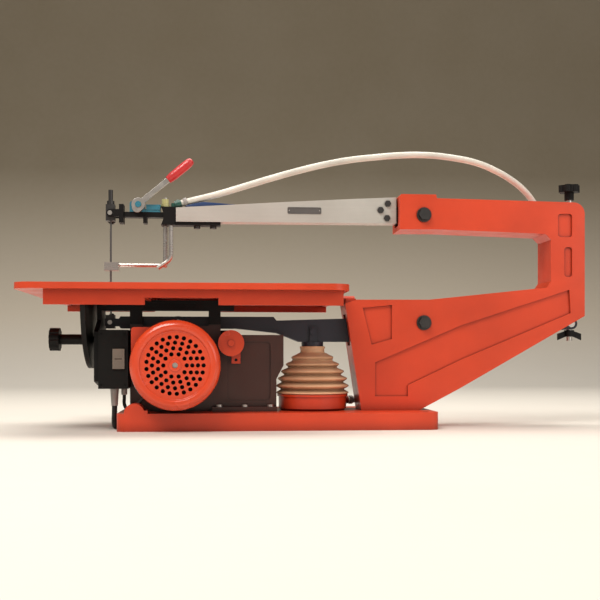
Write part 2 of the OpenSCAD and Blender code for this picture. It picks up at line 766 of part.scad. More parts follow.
module upper_arm_tube() {
    half = tube_w / 2;
    color(silver) difference() {
        slab(-half, half) upper_arm_outline();
        slab(tube_wall - half, half - tube_wall) {
            offset(delta = -tube_wall) upper_arm_outline();
            translate([tube_x0 - 5, upper_z - 11 + tube_wall]) square([15, 16 - tube_wall]);
            translate([tube_x1 - 10, upper_z - 10 + tube_wall]) square([15, 35 - 2 * tube_wall]);
        }
        for (p = lever_screws) rod_y(p[0], p[1], 2.5, -half - 1, 0);
        for (x = nose_screws) rod_z(x, 0, 2.5, upper_z - 12, upper_z);
    }
}

module upper_lever() {
    tongue = tube_w / 2 - tube_wall;
    color([0.35, 0.36, 0.38]) difference() {
        union() {
            slab(-tongue, tongue)
                translate([tube_x1 - 30, upper_z - 10 + tube_wall]) square([34, 35 - 2 * tube_wall - 3]);
            slab(-arm_half, arm_half) {
                translate([tube_x1 + 1, upper_z - 10]) square([20, 20]);
                polygon([
                    [tube_x1 + 20, upper_z - 10], [pivot_x, upper_z - boss_r], [rod_x, upper_z - 8],
                    [rod_x, upper_z + 8], [pivot_x, upper_z + boss_r], [tube_x1 + 20, upper_z + 10]
                ]);
                translate([pivot_x, upper_z]) circle(boss_r);
                translate([rod_x, upper_z]) circle(8);
            }
        }
        block(tube_x1 + 1, pivot_x, -30, 30, upper_z + boss_r, upper_z + 40);
        rod_y(pivot_x, upper_z, pivot_r + 3.5, -arm_half - 1, arm_half + 1);
        block(rod_x - 16, rod_x + 10, -fork_half, fork_half, upper_z - 11, upper_z + 11);
        rod_y(rod_x, upper_z, 5 + run, -arm_half - 1, arm_half + 1);
        for (p = lever_screws) rod_y(p[0], p[1], 2.5, -tongue - 1, 0);
    }
}

module arm_screws() {
    half = tube_w / 2;
    color(dark) {
        for (p = lever_screws) bolt_y(p[0], p[1], 2.4, -half, -1, 4.6);
        for (x = nose_screws) {
            rod_z(x, 0, 2.4, upper_z - 15, upper_z - 2);
            rod_z(x, 0, 4.5, upper_z - 19, upper_z - 15.5);
        }
    }
}

module arm_nose() {
    tongue = tube_w / 2 - tube_wall;
    color(black) difference() {
        union() {
            // strip under the tube and tongue inside it
            block(tube_x0 - 4, tube_x0 + 60, -9, 9, upper_z - 15.5, upper_z - 11);
            block(tube_x0 - 1, tube_x0 + 60, -tongue, tongue, upper_z - 10.6 + tube_wall, upper_z + 4);
            // waisted block that carries the guard rod and the blower pipe
            slab(-11, 11) polygon([
                [block_x - 9, upper_z - 15.5], [tube_x0 - 1, upper_z - 15.5],
                [tube_x0 - 1, upper_z + 9], [block_x - 9, upper_z + 9],
                [block_x - 6, upper_z + 1], [block_x - 6, upper_z - 8]
            ]);
            // bar, legs and the two cheeks that hold the blade clamp
            block(blade_x + 12, block_x - 5, -7, 7, upper_z - 5, upper_z + 2);
            block(blade_x + 12, blade_x + 18, -arm_half, arm_half, upper_z - 13, upper_z + 12);
            block(blade_x + 44, blade_x + 49, -8, 8, upper_z - 13, upper_z - 4);
            for (s = [-1, 1]) {
                block(blade_x, blade_x + 13, s * 8.3 - 1.7, s * 8.3 + 1.7,
                    upper_z - cheek_h / 2, upper_z + cheek_h / 2);
                rod_y(blade_x, upper_z, cheek_h / 2, s * 8.3 - 1.7, s * 8.3 + 1.7);
            }
        }
        rod_y(blade_x, upper_z, pin_r, -20, 20);
        rod_z(block_x - 4, 4, 3.05, upper_z - 17, upper_z + 12);
        rod_z(block_x + 4, -6, 3, upper_z - 17, upper_z - 4);
        for (x = nose_screws) rod_z(x, 0, 2.5, upper_z - 17, upper_z + 5);
    }
}

cam_x = blade_x + 38;
cam_z = upper_z + 11;

module cam_housing() {
    color(blue) {
        difference() {
            block(blade_x + 26, blade_x + 46, -8, 8, upper_z + 2, upper_z + 16);
            for (s = [-1, 1]) translate([blade_x + 36, 0, upper_z + 16]) rotate([0, s * 45, 0])
                translate([s * 9.5 - 3, -9, 5.6]) cube([6, 18, 12]);
        }
        block(blade_x + 45, blade_x + 67, -7, 7, upper_z + 2, upper_z + 6);
        block(blade_x + 48, blade_x + 67, -8, 8, upper_z + 5, upper_z + 12);
        rod_y(cam_x, cam_z, 4, -17, -7);
    }
}

module hose_fitting() {
    aim = heading(hose_route, 0);
    color([0.10, 0.25, 0.18]) difference() {
        union() {
            translate(hose_route[0]) rotate([0, -90 - atan2(aim[2], aim[0]), 0]) {
                cylinder(r = 5.2, h = 9);
                translate([0, 0, 3]) cylinder(r = 6, h = 3);
            }
            rod_z(tube_x0 - 3, 0, 4, upper_z + 9, upper_z + 15);
        }
        block(tube_x0 - 20, tube_x0 + 20, -9, 9, upper_z - 5, upper_z + 9);
    }
}

// The lever turns about a pin on the side of the cam housing
module tension_lever() {
    color(steel) translate([cam_x, 0, cam_z]) difference() {
        slab(-16, -11) {
            circle(9);
            rotate(40) translate([0, -3.5]) square([60, 7]);
            rotate(-20) translate([0, -4]) circle(7);
        }
        rod_y(0, 0, 4 + run, -18, -9);
    }
}

module lever_grip() {
    color([0.75, 0.08, 0.08]) translate([cam_x, -13.5, cam_z]) rotate([0, -40, 0])
        translate([52, 0, 0]) rotate([0, 90, 0]) difference() {
            union() {
                cylinder(r = 6, h = 36);
                translate([0, 0, 36]) sphere(6);
            }
            // socket for the lever's bar
            translate([-3.5, -2.5, -1]) cube([7, 5, 9]);
        }
}

module guard_rod() {
    x = block_x - 4;
    foot_z = table_z + 24;
    color(steel) difference() {
        union() {
            rod_z(x, 4, 3, foot_z + 8, upper_z + 23);
            translate([x, 4, foot_z + 8]) sphere(3);
            rod_x(4, foot_z + 8, 2.5, blade_x + 8, x);
            block(blade_x - 8, blade_x + 11, -5.5, 5.5, foot_z, foot_z + 11);
        }
        block(blade_x - 9, blade_x + 4, -1.5, 1.5, foot_z - 1, foot_z + 12);
    }
}

module guard_knob() {
    x = block_x - 4;
    color([0.90, 0.88, 0.70]) difference() {
        union() {
            rod_z(x, 4, 6, upper_z + 9.4, upper_z + 14);
            rod_z(x, 4, 4.6, upper_z + 13, upper_z + 21);
        }
        rod_z(x, 4, 3.05, upper_z, upper_z + 30);
    }
}

module blower_pipe() {
    x = block_x + 4;
    bend = 12;
    low = table_z + 46;
    turned = 55;
    tip = [x - bend + bend * cos(turned), -6, low - bend * sin(turned)];
    color(silver) swept_tube(concat(
        [[x, -6, upper_z - 4], [x, -6, low + 6]],
        [for (a = [0:11:turned]) [x - bend + bend * cos(a), -6, low - bend * sin(a)]],
        [tip - 15 * [sin(turned), 0, cos(turned)]]
    ), 3, [0, 1, 0], 16);
}

// ---- blade and its clamps -----------------------------------------------------

module blade() {
    low = lower_z + blade_end;
    high = upper_z - blade_end;
    pitch = 2;
    teeth = floor((high - low - 30) / pitch);
    color(steel) slab(-blade_t / 2, blade_t / 2) polygon([
        [blade_x + 1.5, low], [blade_x + 1.5, high], [blade_x - 0.7, high],
        for (i = [teeth:-1:1]) each [
            [blade_x - 0.7, low + 15 + pitch * i], [blade_x - 1.5, low + 15.4 + pitch * (i - 1)]
        ],
        [blade_x - 0.7, low + 15], [blade_x - 0.7, low]
    ]);
}

// A clamp on its pivot pin: a slot for the blade on one side of the pin, a tail on the other
module clamp(z, up, tail) {
    ends = [z - up * 11, z - up * blade_end];
    difference() {
        block(blade_x - 6, blade_x + 6, -6, 6,
            min(z - up * 10, z + up * tail), max(z - up * 10, z + up * tail));
        rod_y(blade_x, z, pin_r + run, -7, 7);
        block(blade_x - 7, blade_x + 7, -blade_t / 2, blade_t / 2, min(ends), max(ends));
        rod_y(blade_x, z - up * 8, 2.5, 0.3, 7);
    }
}

module upper_clamp() {
    color(black) {
        clamp(upper_z, 1, 12);
        rod_z(blade_x, 0, 5, upper_z + 12, upper_z + 17);
        rod_z(blade_x, 0, 3, upper_z + 16, upper_z + 32);
    }
}

module lower_clamp() {
    color(black) clamp(lower_z, -1, 8);
}

// A thumb screw on the far side, square to the blade
module thumb_screw(z) {
    head = arm_half + 0.6;
    color(dark) {
        rod_y(blade_x, z, 2.5 - run, blade_t / 2 + 0.1, head + 1);
        difference() {
            rod_y(blade_x, z, 5, head, head + 5);
            for (a = [0:45:315]) translate([blade_x, 0, z]) rotate([0, a, 0])
                rod_y(5.6, 0, 1.2, head - 1, head + 6);
        }
    }
}

module upper_thumb_screw() thumb_screw(upper_z - 8);
module lower_thumb_screw() thumb_screw(lower_z + 8);

// ---- tension rod ---------------------------------------------------------------

module tension_rod() {
    color(steel) {
        rod_z(rod_x, 0, 4, lower_z - 24, upper_z + 44);
        for (z = [lower_z, upper_z]) rod_y(rod_x, z, 5, -arm_half + 0.5, arm_half - 0.5);
    }
}

module tension_knob() {
    color(black) difference() {
        union() {
            rod_z(rod_x, 0, 6.5, upper_z + 27, upper_z + 40);
            translate([rod_x, 0, upper_z + 38]) linear_extrude(10) union() {
                circle(11.5);
                for (a = [0:60:300]) rotate(a) translate([10.5, 0]) circle(4.5);
            }
        }
        rod_z(rod_x, 0, 4 + run, upper_z + 20, upper_z + 45);
    }
}

module wing_nut() {
    color(black) difference() {
        union() {
            rod_z(rod_x, 0, 7, lower_z - 18, lower_z - 9);
            for (s = [-1, 1]) slab(-1.5, 1.5) polygon([
                [rod_x + s * 5, lower_z - 10], [rod_x + s * 17, lower_z - 14],
                [rod_x + s * 17, lower_z - 23], [rod_x + s * 5, lower_z - 18]
            ]);
        }
        rod_z(rod_x, 0, 4 + run, lower_z - 30, lower_z);
    }
}

// ---- table ----------------------------------------------------------------------

module table_top() {
    y = table_w / 2;
    color(orange) difference() {
        union() {
            translate([0, 0, plate_z]) linear_extrude(table_t)
                round_rect(table_x0, table_x1, -y, y, 22);
            // long ribs, deeper at both ends than beside the motor
            for (s = [-1, 1]) {
                block(table_x0 + 36, motor_x - 38, s * (y - 18) - 3, s * (y - 18) + 3, rib_z, plate_z + 1);
                block(motor_x - 40, motor_x + 56, s * (y - 18) - 3, s * (y - 18) + 3, rib_z + 9, plate_z + 1);
                block(motor_x + 54, table_x1 - 8, s * (y - 18) - 3, s * (y - 18) + 3, rib_z, plate_z + 1);
            }
            // cross ribs, clear of the rails
            for (x = [motor_x - 40, motor_x + 54]) {
                block(x, x + 6, 18 - y, -36, rib_z + 8, plate_z + 1);
                block(x, x + 6, 66, y - 18, rib_z + 8, plate_z + 1);
            }
            for (x = [table_x0 + 36, table_x1 - 14])
                block(x, x + 6, 18 - y, y - 18, rib_z + 8, plate_z + 1);
            rod_x(0, tilt_z, lug_r, table_x1 - 18, table_x1 + 2);
            block(table_x1 - 18, table_x1 - 2, -lug_r, lug_r, tilt_z, plate_z + 1);
        }
        translate([blade_x, 0, plate_z + table_t - 3]) cylinder(r = insert_r, h = 4);
        translate([blade_x, 0, plate_z - 4]) cylinder(r = insert_r - 4, h = 12);
        rod_x(0, tilt_z, tilt_pin_r + run, table_x1 - 19, table_x1 + 3);
    }
}

module table_insert() {
    color(steel) difference() {
        translate([blade_x, 0, table_z - 3]) cylinder(r = insert_r - 0.1, h = 3);
        block(blade_x - 4, blade_x + 4, -18, 3, table_z - 5, table_z + 1);
        rod_z(blade_x, -18, 4, table_z - 5, table_z + 1);
        for (a = [60, 180, 300]) translate([blade_x + 22 * cos(a), 22 * sin(a), table_z - 5])
            cylinder(r = 2.2, h = 8);
    }
}

module tilt_quadrant() {
    color(black) difference() {
        union() {
            cross_slab(quadrant_x, quadrant_x + quadrant_t) difference() {
                translate([0, tilt_z]) union() {
                    intersection() {
                        circle(quad_r);
                        translate([-200, -200]) square([400, 200]);
                    }
                    translate([-quad_r, 0]) square([2 * quad_r, plate_z - tilt_z]);
                }
                translate([0, tilt_z]) arc_slot(stem_drop, stem_r + 0.4, -97, -43);
            }
            for (s = [-1, 1])
                block(quadrant_x - 18, quadrant_x + 1, s * (quad_r - 32) - 24, s * (quad_r - 32) + 24,
                    plate_z - 5, plate_z);
        }
        rod_x(0, tilt_z, tilt_pin_r + run, quadrant_x - 1, quadrant_x + quadrant_t + 1);
    }
}

// Pins of the table's hinge: the front one in the front plate, the rear one in the frame
module table_pivots() {
    color(steel) {
        rod_x(0, tilt_z, tilt_pin_r, quadrant_x - 3, front_x + front_t);
        rod_x(0, tilt_z, tilt_pin_r, table_x1 - 20, frame_front + 14);
    }
}

module tilt_lock_knob() {
    z = tilt_z - stem_drop;
    front = quadrant_x - 52;
    color(black) {
        rod_x(0, z, stem_r, quadrant_x - 10, front_x + 5);
        rod_x(0, z, 7, quadrant_x - 42, quadrant_x - 0.6);
        difference() {
            rod_x(0, z, 15.5, front, front + 13);
            for (a = [0:30:330]) translate([front - 1, 0, z]) rotate([a, 0, 0])
                translate([0, 0, 17]) rotate([0, 90, 0]) cylinder(r = 2.6, h = 15);
        }
    }
}

// ---- electrics -------------------------------------------------------------------

module switch_box() {
    wall = 2.5;
    color(black) difference() {
        block(box_x0, box_x0 + box_w - 2, box_y0 + 2, box_y1, box_z, box_z + box_h);
        block(box_x0 + wall, box_x0 + box_w - 2 - wall, box_y0 + 1, box_y1 - wall,
            box_z + wall, box_z + box_h - wall);
        for (x = gland_x) rod_z(x[0], x[1], 3.5, box_z - 1, box_z + wall + 1);
    }
}

rocker_x = box_x0 + box_w - 14;
rocker_z = box_z + 38.5;
rocker_y = box_y0 + 4;

module switch_cover() {
    color([0.30, 0.30, 0.30]) difference() {
        block(box_x0, box_x0 + box_w - 2, box_y0 - 1, box_y0 + 2, box_z, box_z + box_h);
        block(rocker_x - 8, rocker_x + 8, box_y0 - 3, box_y0 + 3, rocker_z - 14, rocker_z + 14);
        for (x = [box_x0 + 4, box_x0 + box_w - 6], z = [box_z + 5, box_z + box_h - 5])
            rod_y(x, z, 1.6, box_y0 - 2, box_y0 + 0.5);
    }
    // lugs behind the opening hold the rocker's pivot
    color([0.30, 0.30, 0.30]) difference() {
        for (x = [rocker_x - 10.2, rocker_x + 8.2])
            block(x, x + 1.2, box_y0 + 1.9, box_y0 + 6.5, rocker_z - 4, rocker_z + 4);
        rod_x(rocker_y, rocker_z, 1.5 + run, rocker_x - 12, rocker_x + 12);
    }
}

module rocker_button() {
    color([0.75, 0.75, 0.72]) {
        difference() {
            block(rocker_x - 7.6, rocker_x + 7.6, box_y0 - 3.5, box_y0 + 6, rocker_z - 13, rocker_z + 13);
            slab(box_y0 - 5, box_y0 - 2.5) translate([rocker_x, rocker_z]) square([9, 1.6], center = true);
        }
        for (x = [rocker_x - 9.3, rocker_x + 7.5]) rod_x(rocker_y, rocker_z, 1.5, x, x + 1.8);
    }
}

gland_x = [[cord_route[0][0], cord_route[0][1]], [lead_route[0][0], lead_route[0][1]]];

module cable_glands() {
    top = box_z + 2.5;
    power = gland_x[0];
    lead = gland_x[1];
    color([0.70, 0.66, 0.66]) {
        // tapered relief of the power cord
        translate(cord_route[0]) cylinder(r1 = 4.2, r2 = 5.6, h = box_z - cord_route[0][2]);
        rod_z(power[0], power[1], 3.4, box_z - 1, top + 2);
        rod_z(lead[0], lead[1], 3.8, lead_route[0][2], box_z);
        rod_z(lead[0], lead[1], 3.2, box_z - 1, top + 2);
        // the lead's gland on the motor
        translate(lead_route[len(lead_route) - 1]) rotate([0, 45, 0])
            cylinder(r = 3.4, h = 43 * sqrt(2) - gland_seat);
    }
}

module motor_lead() {
    color(black) swept_tube(lead_route, lead_d / 2, [0, 1, 0.2], 8);
}

module power_cord() {
    color(black) swept_tube(cord_route, cord_d / 2, [-1, 1, 1], 10);
}

module cord_coil() {
    color(black) translate(coil_c) rotate_extrude() translate([coil_mid - 1.5 * cord_d, 0])
        square([3 * cord_d, 2 * cord_d]);
}

module power_plug() {
    start = [coil_c[0], coil_c[1] - coil_mid - cord_d, 1.5 * cord_d];
    color(black) translate(start) {
        rotate([0, 90, 0]) cylinder(r = cord_d / 2, h = 44);
        translate([43, 0, 0]) rotate([0, 90, 0]) cylinder(r1 = 4.2, r2 = 6.5, h = 28);
        difference() {
            translate([70, -13, -start[2]]) cube([34, 26, 20]);
            translate([92, -20, -start[2] - 1]) cube([13, 12, 22]);
            translate([92, 8, -start[2] - 1]) cube([13, 12, 22]);
        }
        for (y = [-6.35, 6.35]) translate([103, y - 0.8, -3]) cube([17, 1.6, 6]);
    }
}

module air_hose() {
    color([0.88, 0.88, 0.85]) swept_tube(hose_route, hose_d / 2, [0, 1, 0], 10);
}

base_casting();
frame_near_half();
frame_far_half();
body_bolts();
motor_plate();
table_rails();
front_plate();
motor_end_shield();
motor_housing();
motor_stator();
motor_bearings();
fan_cover();
capacitor();
switch_box();
switch_cover();
cable_glands();
motor_lead();
bellows_cup();
pivot_bolts();
power_cord();
cord_coil();
power_plug();
motor_shaft();
rotor_core();
cooling_fan();
crank();
connecting_rod();
lower_arm();
lower_bushes();
lower_pins();
bellows_bracket();
bellows();
upper_arm_tube();
upper_lever();
upper_bushes();
blade_pin();
arm_screws();
arm_nose();
cam_housing();
air_hose();
hose_fitting();
tension_lever();
lever_grip();
guard_rod();
guard_knob();
blower_pipe();
blade();
upper_clamp();
lower_clamp();
upper_thumb_screw();
lower_thumb_screw();
tension_rod();
tension_knob();
wing_nut();
table_top();
table_insert();
tilt_quadrant();
table_pivots();
tilt_lock_knob();
rocker_button();
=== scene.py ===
# %% [markdown]
# # A parallel-arm scroll saw
# The saw's hard parts come from its CAD model, which is the fixed frame here. This file gives
# them their finishes, breaks their sharp edges very slightly, and makes what CAD leaves plain:
# the hose, the bellows, the mains lead, the lever's grip and the small fittings. Lengths are in
# metres, and where a list is easier to read in millimetres it is multiplied by MM.
# The frame is loaded first, because every place below is read from it.

# %% Load the frame
import json
import math

import bpy
from mathutils import Matrix, Vector
from mathutils.bvhtree import BVHTree

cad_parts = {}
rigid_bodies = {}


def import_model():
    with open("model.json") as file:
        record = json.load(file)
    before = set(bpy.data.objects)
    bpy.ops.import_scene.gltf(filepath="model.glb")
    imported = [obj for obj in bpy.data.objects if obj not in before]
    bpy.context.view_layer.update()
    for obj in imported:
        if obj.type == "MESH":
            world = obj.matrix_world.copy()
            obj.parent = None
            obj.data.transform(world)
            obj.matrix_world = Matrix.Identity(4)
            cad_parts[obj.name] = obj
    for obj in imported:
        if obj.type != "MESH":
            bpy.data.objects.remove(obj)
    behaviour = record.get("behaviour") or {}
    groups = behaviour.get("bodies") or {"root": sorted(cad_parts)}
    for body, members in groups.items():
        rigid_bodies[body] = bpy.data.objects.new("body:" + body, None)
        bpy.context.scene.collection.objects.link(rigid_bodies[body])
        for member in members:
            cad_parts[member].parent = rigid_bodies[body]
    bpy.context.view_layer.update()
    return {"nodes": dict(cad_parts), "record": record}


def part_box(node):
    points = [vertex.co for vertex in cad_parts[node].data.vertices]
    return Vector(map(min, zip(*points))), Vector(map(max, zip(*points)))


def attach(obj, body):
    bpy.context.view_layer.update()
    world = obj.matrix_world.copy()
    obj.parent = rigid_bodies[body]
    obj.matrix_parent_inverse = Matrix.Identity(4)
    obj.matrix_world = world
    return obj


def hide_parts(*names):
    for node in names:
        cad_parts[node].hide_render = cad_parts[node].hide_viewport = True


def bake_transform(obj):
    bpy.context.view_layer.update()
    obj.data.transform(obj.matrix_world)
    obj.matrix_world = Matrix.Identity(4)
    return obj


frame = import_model()
MM = 0.001

# %% [markdown]
# The camera stands level with the bench saw's motor, a little towards the operator's end, so
# that the long side is seen almost square on. A level camera keeps upright edges parallel, and
# a small shift lifts the view instead of a tilt.

# %% Place the camera
VIEW_TURN = math.radians(5)
VIEW_DISTANCE = 1.3
VIEW_AIM = Vector((0.0289, 0, 0.098))
LENS = 56.7
VIEW_LIFT = 0.0917

camera_data = bpy.data.cameras.new("camera")
camera_data.sensor_width = 36
camera_data.lens = LENS
camera_data.shift_y = VIEW_LIFT
camera_data.clip_end = 30
camera = bpy.data.objects.new("camera", camera_data)
bpy.context.scene.collection.objects.link(camera)
away = Vector((math.sin(VIEW_TURN), math.cos(VIEW_TURN), 0))
camera.location = VIEW_AIM - VIEW_DISTANCE * away
camera.rotation_euler = (math.radians(90), 0, -VIEW_TURN)
bpy.context.scene.camera = camera
print("camera at", tuple(round(c, 3) for c in camera.location))

# %% [markdown]
# A few helpers come next. An operator works on whatever is selected, so `only` clears the
# selection first. `settle` bakes an object's place into its mesh and leaves the object at the
# origin, because patterns are read in object coordinates. `outward` mends normals.

# %% Helpers for objects


def only(obj):
    """Select this object and nothing else."""
    bpy.ops.object.select_all(action="DESELECT")
    obj.hide_set(False)
    obj.select_set(True)
    bpy.context.view_layer.objects.active = obj
    return obj


def settle(obj, name):
    """Name the object, and move its place into its mesh."""
    only(obj)
    obj.name = name
    obj.data.name = name
    bpy.ops.object.transform_apply(location=True, rotation=True, scale=True)
    return obj


def outward(obj):
    only(obj)
    bpy.ops.object.mode_set(mode="EDIT")
    bpy.ops.mesh.select_all(action="SELECT")
    bpy.ops.mesh.normals_make_consistent(inside=False)
    bpy.ops.object.mode_set(mode="OBJECT")
    return obj


def smooth(obj, degrees=35):
    only(obj)
    bpy.ops.object.shade_smooth_by_angle(angle=math.radians(degrees))
    return obj


def apply_modifier(obj, kind, **settings):
    """Add a modifier with these settings and apply it at once."""
    only(obj)
    modifier = obj.modifiers.new(kind.lower(), kind)
    for key, value in settings.items():
        setattr(modifier, key, value)
    bpy.ops.object.modifier_apply(modifier=modifier.name)
    return obj


def pick(obj, mode, test):
    """In edit mode, select the edges or faces that pass a test of their place."""
    bpy.ops.mesh.select_mode(type=mode)
    bpy.ops.mesh.select_all(action="DESELECT")
    bpy.ops.object.mode_set(mode="OBJECT")
    mesh = obj.data
    if mode == "FACE":
        for face in mesh.polygons:
            face.select = test(face.center, face.normal)
    else:
        for edge in mesh.edges:
            a, b = (mesh.vertices[v].co for v in edge.vertices)
            edge.select = test(a, b)
    bpy.ops.object.mode_set(mode="EDIT")


def finish_piece(obj, body, slot, material, *nodes):
    """Give the piece its finish and its body, and hide the CAD nodes it stands for; slot is not used."""
    obj.data.materials.clear()
    obj.data.materials.append(material)
    if body:
        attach(obj, body)
    if nodes:
        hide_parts(*nodes)
    return obj


# %% [markdown]
# Finishes are built from nodes. Enamel on a casting isn't one colour: it drifts a little from
# place to place and has a fine orange-peel skin. One class makes the common chain: noise for
# colour, noise for roughness, and noise for bump, all in object coordinates. It can also paint
# shade into a colour where other surfaces crowd round, darkening recesses and folds.

# %% Helpers for finishes


class Finish:
    """A material with its node tree at hand."""

    def __init__(self, name, metallic=0.0, **sockets):
        self.material = bpy.data.materials.new(name)
        self.material.use_nodes = True
        self.tree = self.material.node_tree
        self.shader = self.tree.nodes["Principled BSDF"]
        self.shader.inputs["Metallic"].default_value = metallic
        for key, value in sockets.items():
            self.shader.inputs[key.replace("_", " ")].default_value = value
        self.place = self.node("ShaderNodeTexCoord").outputs["Object"]

    def node(self, kind, **settings):
        made = self.tree.nodes.new(kind)
        for key, value in settings.items():
            setattr(made, key, value)
        return made

    def link(self, start, end):
        self.tree.links.new(start, end)
        return end

    def stretched(self, scale):
        """Object coordinates, stretched by this much along X, Y and Z."""
        mapping = self.node("ShaderNodeMapping")
        mapping.inputs["Scale"].default_value = scale
        self.link(self.place, mapping.inputs["Vector"])
        return mapping.outputs["Vector"]

    def noise(self, scale, detail, vector=None):
        noise = self.node("ShaderNodeTexNoise")
        noise.inputs["Scale"].default_value = scale
        noise.inputs["Detail"].default_value = detail
        self.link(vector or self.place, noise.inputs["Vector"])
        return noise.outputs["Fac"]

    def ramp(self, factor, *stops):
        """A colour ramp: each stop is (place, colour)."""
        ramp = self.node("ShaderNodeValToRGB")
        elements = ramp.color_ramp.elements
        while len(elements) < len(stops):
            elements.new(0.5)
        for element, (place, colour) in zip(elements, stops):
            element.position = place
            element.color = (*colour, 1)
        self.link(factor, ramp.inputs["Fac"])
        return ramp.outputs["Color"]

    def mix(self, factor, a, b, blend="MIX"):
        """Mix two colours. A colour mix has its factor at socket 0 and its colours at 6 and 7."""
        mix = self.node("ShaderNodeMix", data_type="RGBA", blend_type=blend)
        for socket, value in ((mix.inputs[0], factor), (mix.inputs[6], a), (mix.inputs[7], b)):
            if hasattr(value, "links"):
                self.link(value, socket)
            else:
                socket.default_value = value if isinstance(value, float) else (*value, 1)
        return mix.outputs[2]

    def range(self, factor, low, high):
        """Stretch a factor to run from low to high."""
        stretch = self.node("ShaderNodeMapRange")
        stretch.inputs["From Min"].default_value = 0.3
        stretch.inputs["From Max"].default_value = 0.7
        stretch.inputs["To Min"].default_value = low
        stretch.inputs["To Max"].default_value = high
        self.link(factor, stretch.inputs["Value"])
        return stretch.outputs["Result"]

    def bump(self, height, strength, distance=0.001):
        bump = self.node("ShaderNodeBump")
        bump.inputs["Strength"].default_value = strength
        bump.inputs["Distance"].default_value = distance
        self.link(height, bump.inputs["Height"])
        self.link(bump.outputs["Normal"], self.shader.inputs["Normal"])

    def colour(self, socket):
        self.link(socket, self.shader.inputs["Base Color"])

    def rough(self, factor, low, high):
        self.link(self.range(factor, low, high), self.shader.inputs["Roughness"])

    def painted_hollow_shade(self, colour, dark, reach=0.012):
        """Darken a colour where other surfaces crowd round: painted shade, read from ambient occlusion."""
        crowd = self.node("ShaderNodeAmbientOcclusion", samples=8)
        crowd.inputs["Distance"].default_value = reach
        shade = self.ramp(crowd.outputs["AO"], (0.25, dark), (0.85, (1, 1, 1)))
        return self.mix(1.0, colour, shade, "MULTIPLY")


def shade_of(colour, factor):
    return tuple(min(1.0, c * factor) for c in colour)


# %% [markdown]
# Orange enamel covers the castings. It was sprayed thick over a slightly rough casting, so the
# skin has soft waves and the gloss varies. Its colour is darkened in recesses as painted shade.

# %% Enamel and other paints


def enamel(name, colour, low=0.34, high=0.50, peel=0.12, wear=0.85, coat=0.12, gloss=0.4):
    finish = Finish(name, Coat_Weight=coat, Coat_Roughness=0.12, Specular_IOR_Level=gloss)
    patches = finish.noise(9, 5)
    tint = finish.ramp(patches, (0.3, shade_of(colour, wear)), (0.7, shade_of(colour, 1.08)))
    dust = finish.noise(55, 3)
    tint = finish.mix(finish.range(dust, 0.0, 0.10), tint, shade_of(colour, 0.7))
    # Painted shade: the enamel's colour is darkened where other surfaces crowd round.
    finish.colour(finish.painted_hollow_shade(tint, (0.30, 0.24, 0.22), 0.022))
    finish.rough(finish.noise(38, 4), low, high)
    finish.bump(finish.noise(420, 3), peel, 0.0004)
    return finish.material


ORANGE = (0.66, 0.056, 0.014)
orange_enamel = enamel("orange_enamel", ORANGE)
orange_moulding = enamel("orange_moulding", (0.68, 0.062, 0.017), 0.20, 0.30, 0.05, 0.92, 0.35)
brown_enamel = enamel("brown_enamel", (0.075, 0.026, 0.018), 0.35, 0.5)
black_enamel = enamel("black_enamel", (0.0065, 0.0055, 0.0055), 0.38, 0.55, 0.15, coat=0.0, gloss=0.2)
arm_enamel = enamel("arm_enamel", (0.022, 0.022, 0.034), 0.35, 0.5, 0.25, coat=0.05)
print("paints made")

# %% [markdown]
# The metals are steels from bright to black, bronze bushes, the motor's iron, and the drawn
# aluminium of the arm, whose lines run along it. Stretched noise draws such lines, and it also
# drives the roughness.

# %% Metals


def metal(name, colour, low, high, grain=(1, 1, 1), lines=0.03):
    finish = Finish(name, metallic=1.0)
    streaks = finish.noise(150, 3, finish.stretched(grain))
    stain = finish.noise(14, 5)
    tint = finish.ramp(stain, (0.3, shade_of(colour, 0.85)), (0.7, colour))
    finish.colour(finish.mix(finish.range(streaks, 0.0, 0.14), tint, shade_of(colour, 0.75)))
    finish.rough(streaks, low, high)
    finish.bump(streaks, lines, 0.0003)
    return finish.material


def drawn(name, dark, pale, line):
    """A drawn metal: its lines run along X."""
    finish = Finish(name, metallic=0.35, Coat_Weight=0.15)
    along = finish.noise(160, 4, finish.stretched((0.12, 2, 2)))
    tint = finish.ramp(finish.noise(12, 4), (0.3, dark), (0.7, pale))
    tint = finish.mix(finish.range(along, 0.0, 0.18), tint, line)
    # Painted shade: the colour is darkened where other surfaces crowd round.
    finish.colour(finish.painted_hollow_shade(tint, (0.4, 0.38, 0.36), 0.008))
    finish.rough(along, 0.30, 0.46)
    finish.bump(along, 0.08, 0.0003)
    return finish.material


bright_steel = metal("bright_steel", (0.60, 0.56, 0.52), 0.30, 0.42, (1, 1, 1))
turned_steel = metal("turned_steel", (0.64, 0.60, 0.56), 0.24, 0.36, (0.25, 0.25, 6))
black_steel = metal("black_steel", (0.085, 0.08, 0.078), 0.34, 0.52, (1, 1, 1), 0.08)
blade_steel = metal("blade_steel", (0.20, 0.19, 0.19), 0.28, 0.40, (4, 4, 0.3))
sintered_bronze = metal("sintered_bronze", (0.55, 0.36, 0.16), 0.35, 0.5)
laminated_iron = metal("laminated_iron", (0.26, 0.24, 0.23), 0.45, 0.6, (0.2, 8, 0.2), 0.3)
drawn_aluminium = drawn(
    "drawn_aluminium", (0.52, 0.50, 0.45), (0.62, 0.60, 0.55), (0.42, 0.40, 0.36)
)
print("metals made")

# %% [markdown]
# Plastics and rubbers are told apart by their skin: a moulding has a fine even texture, rubber
# is duller, and a hose is smooth and a little waxy. Their colour is darkened in recesses: painted shade.

# %% Plastics and rubbers


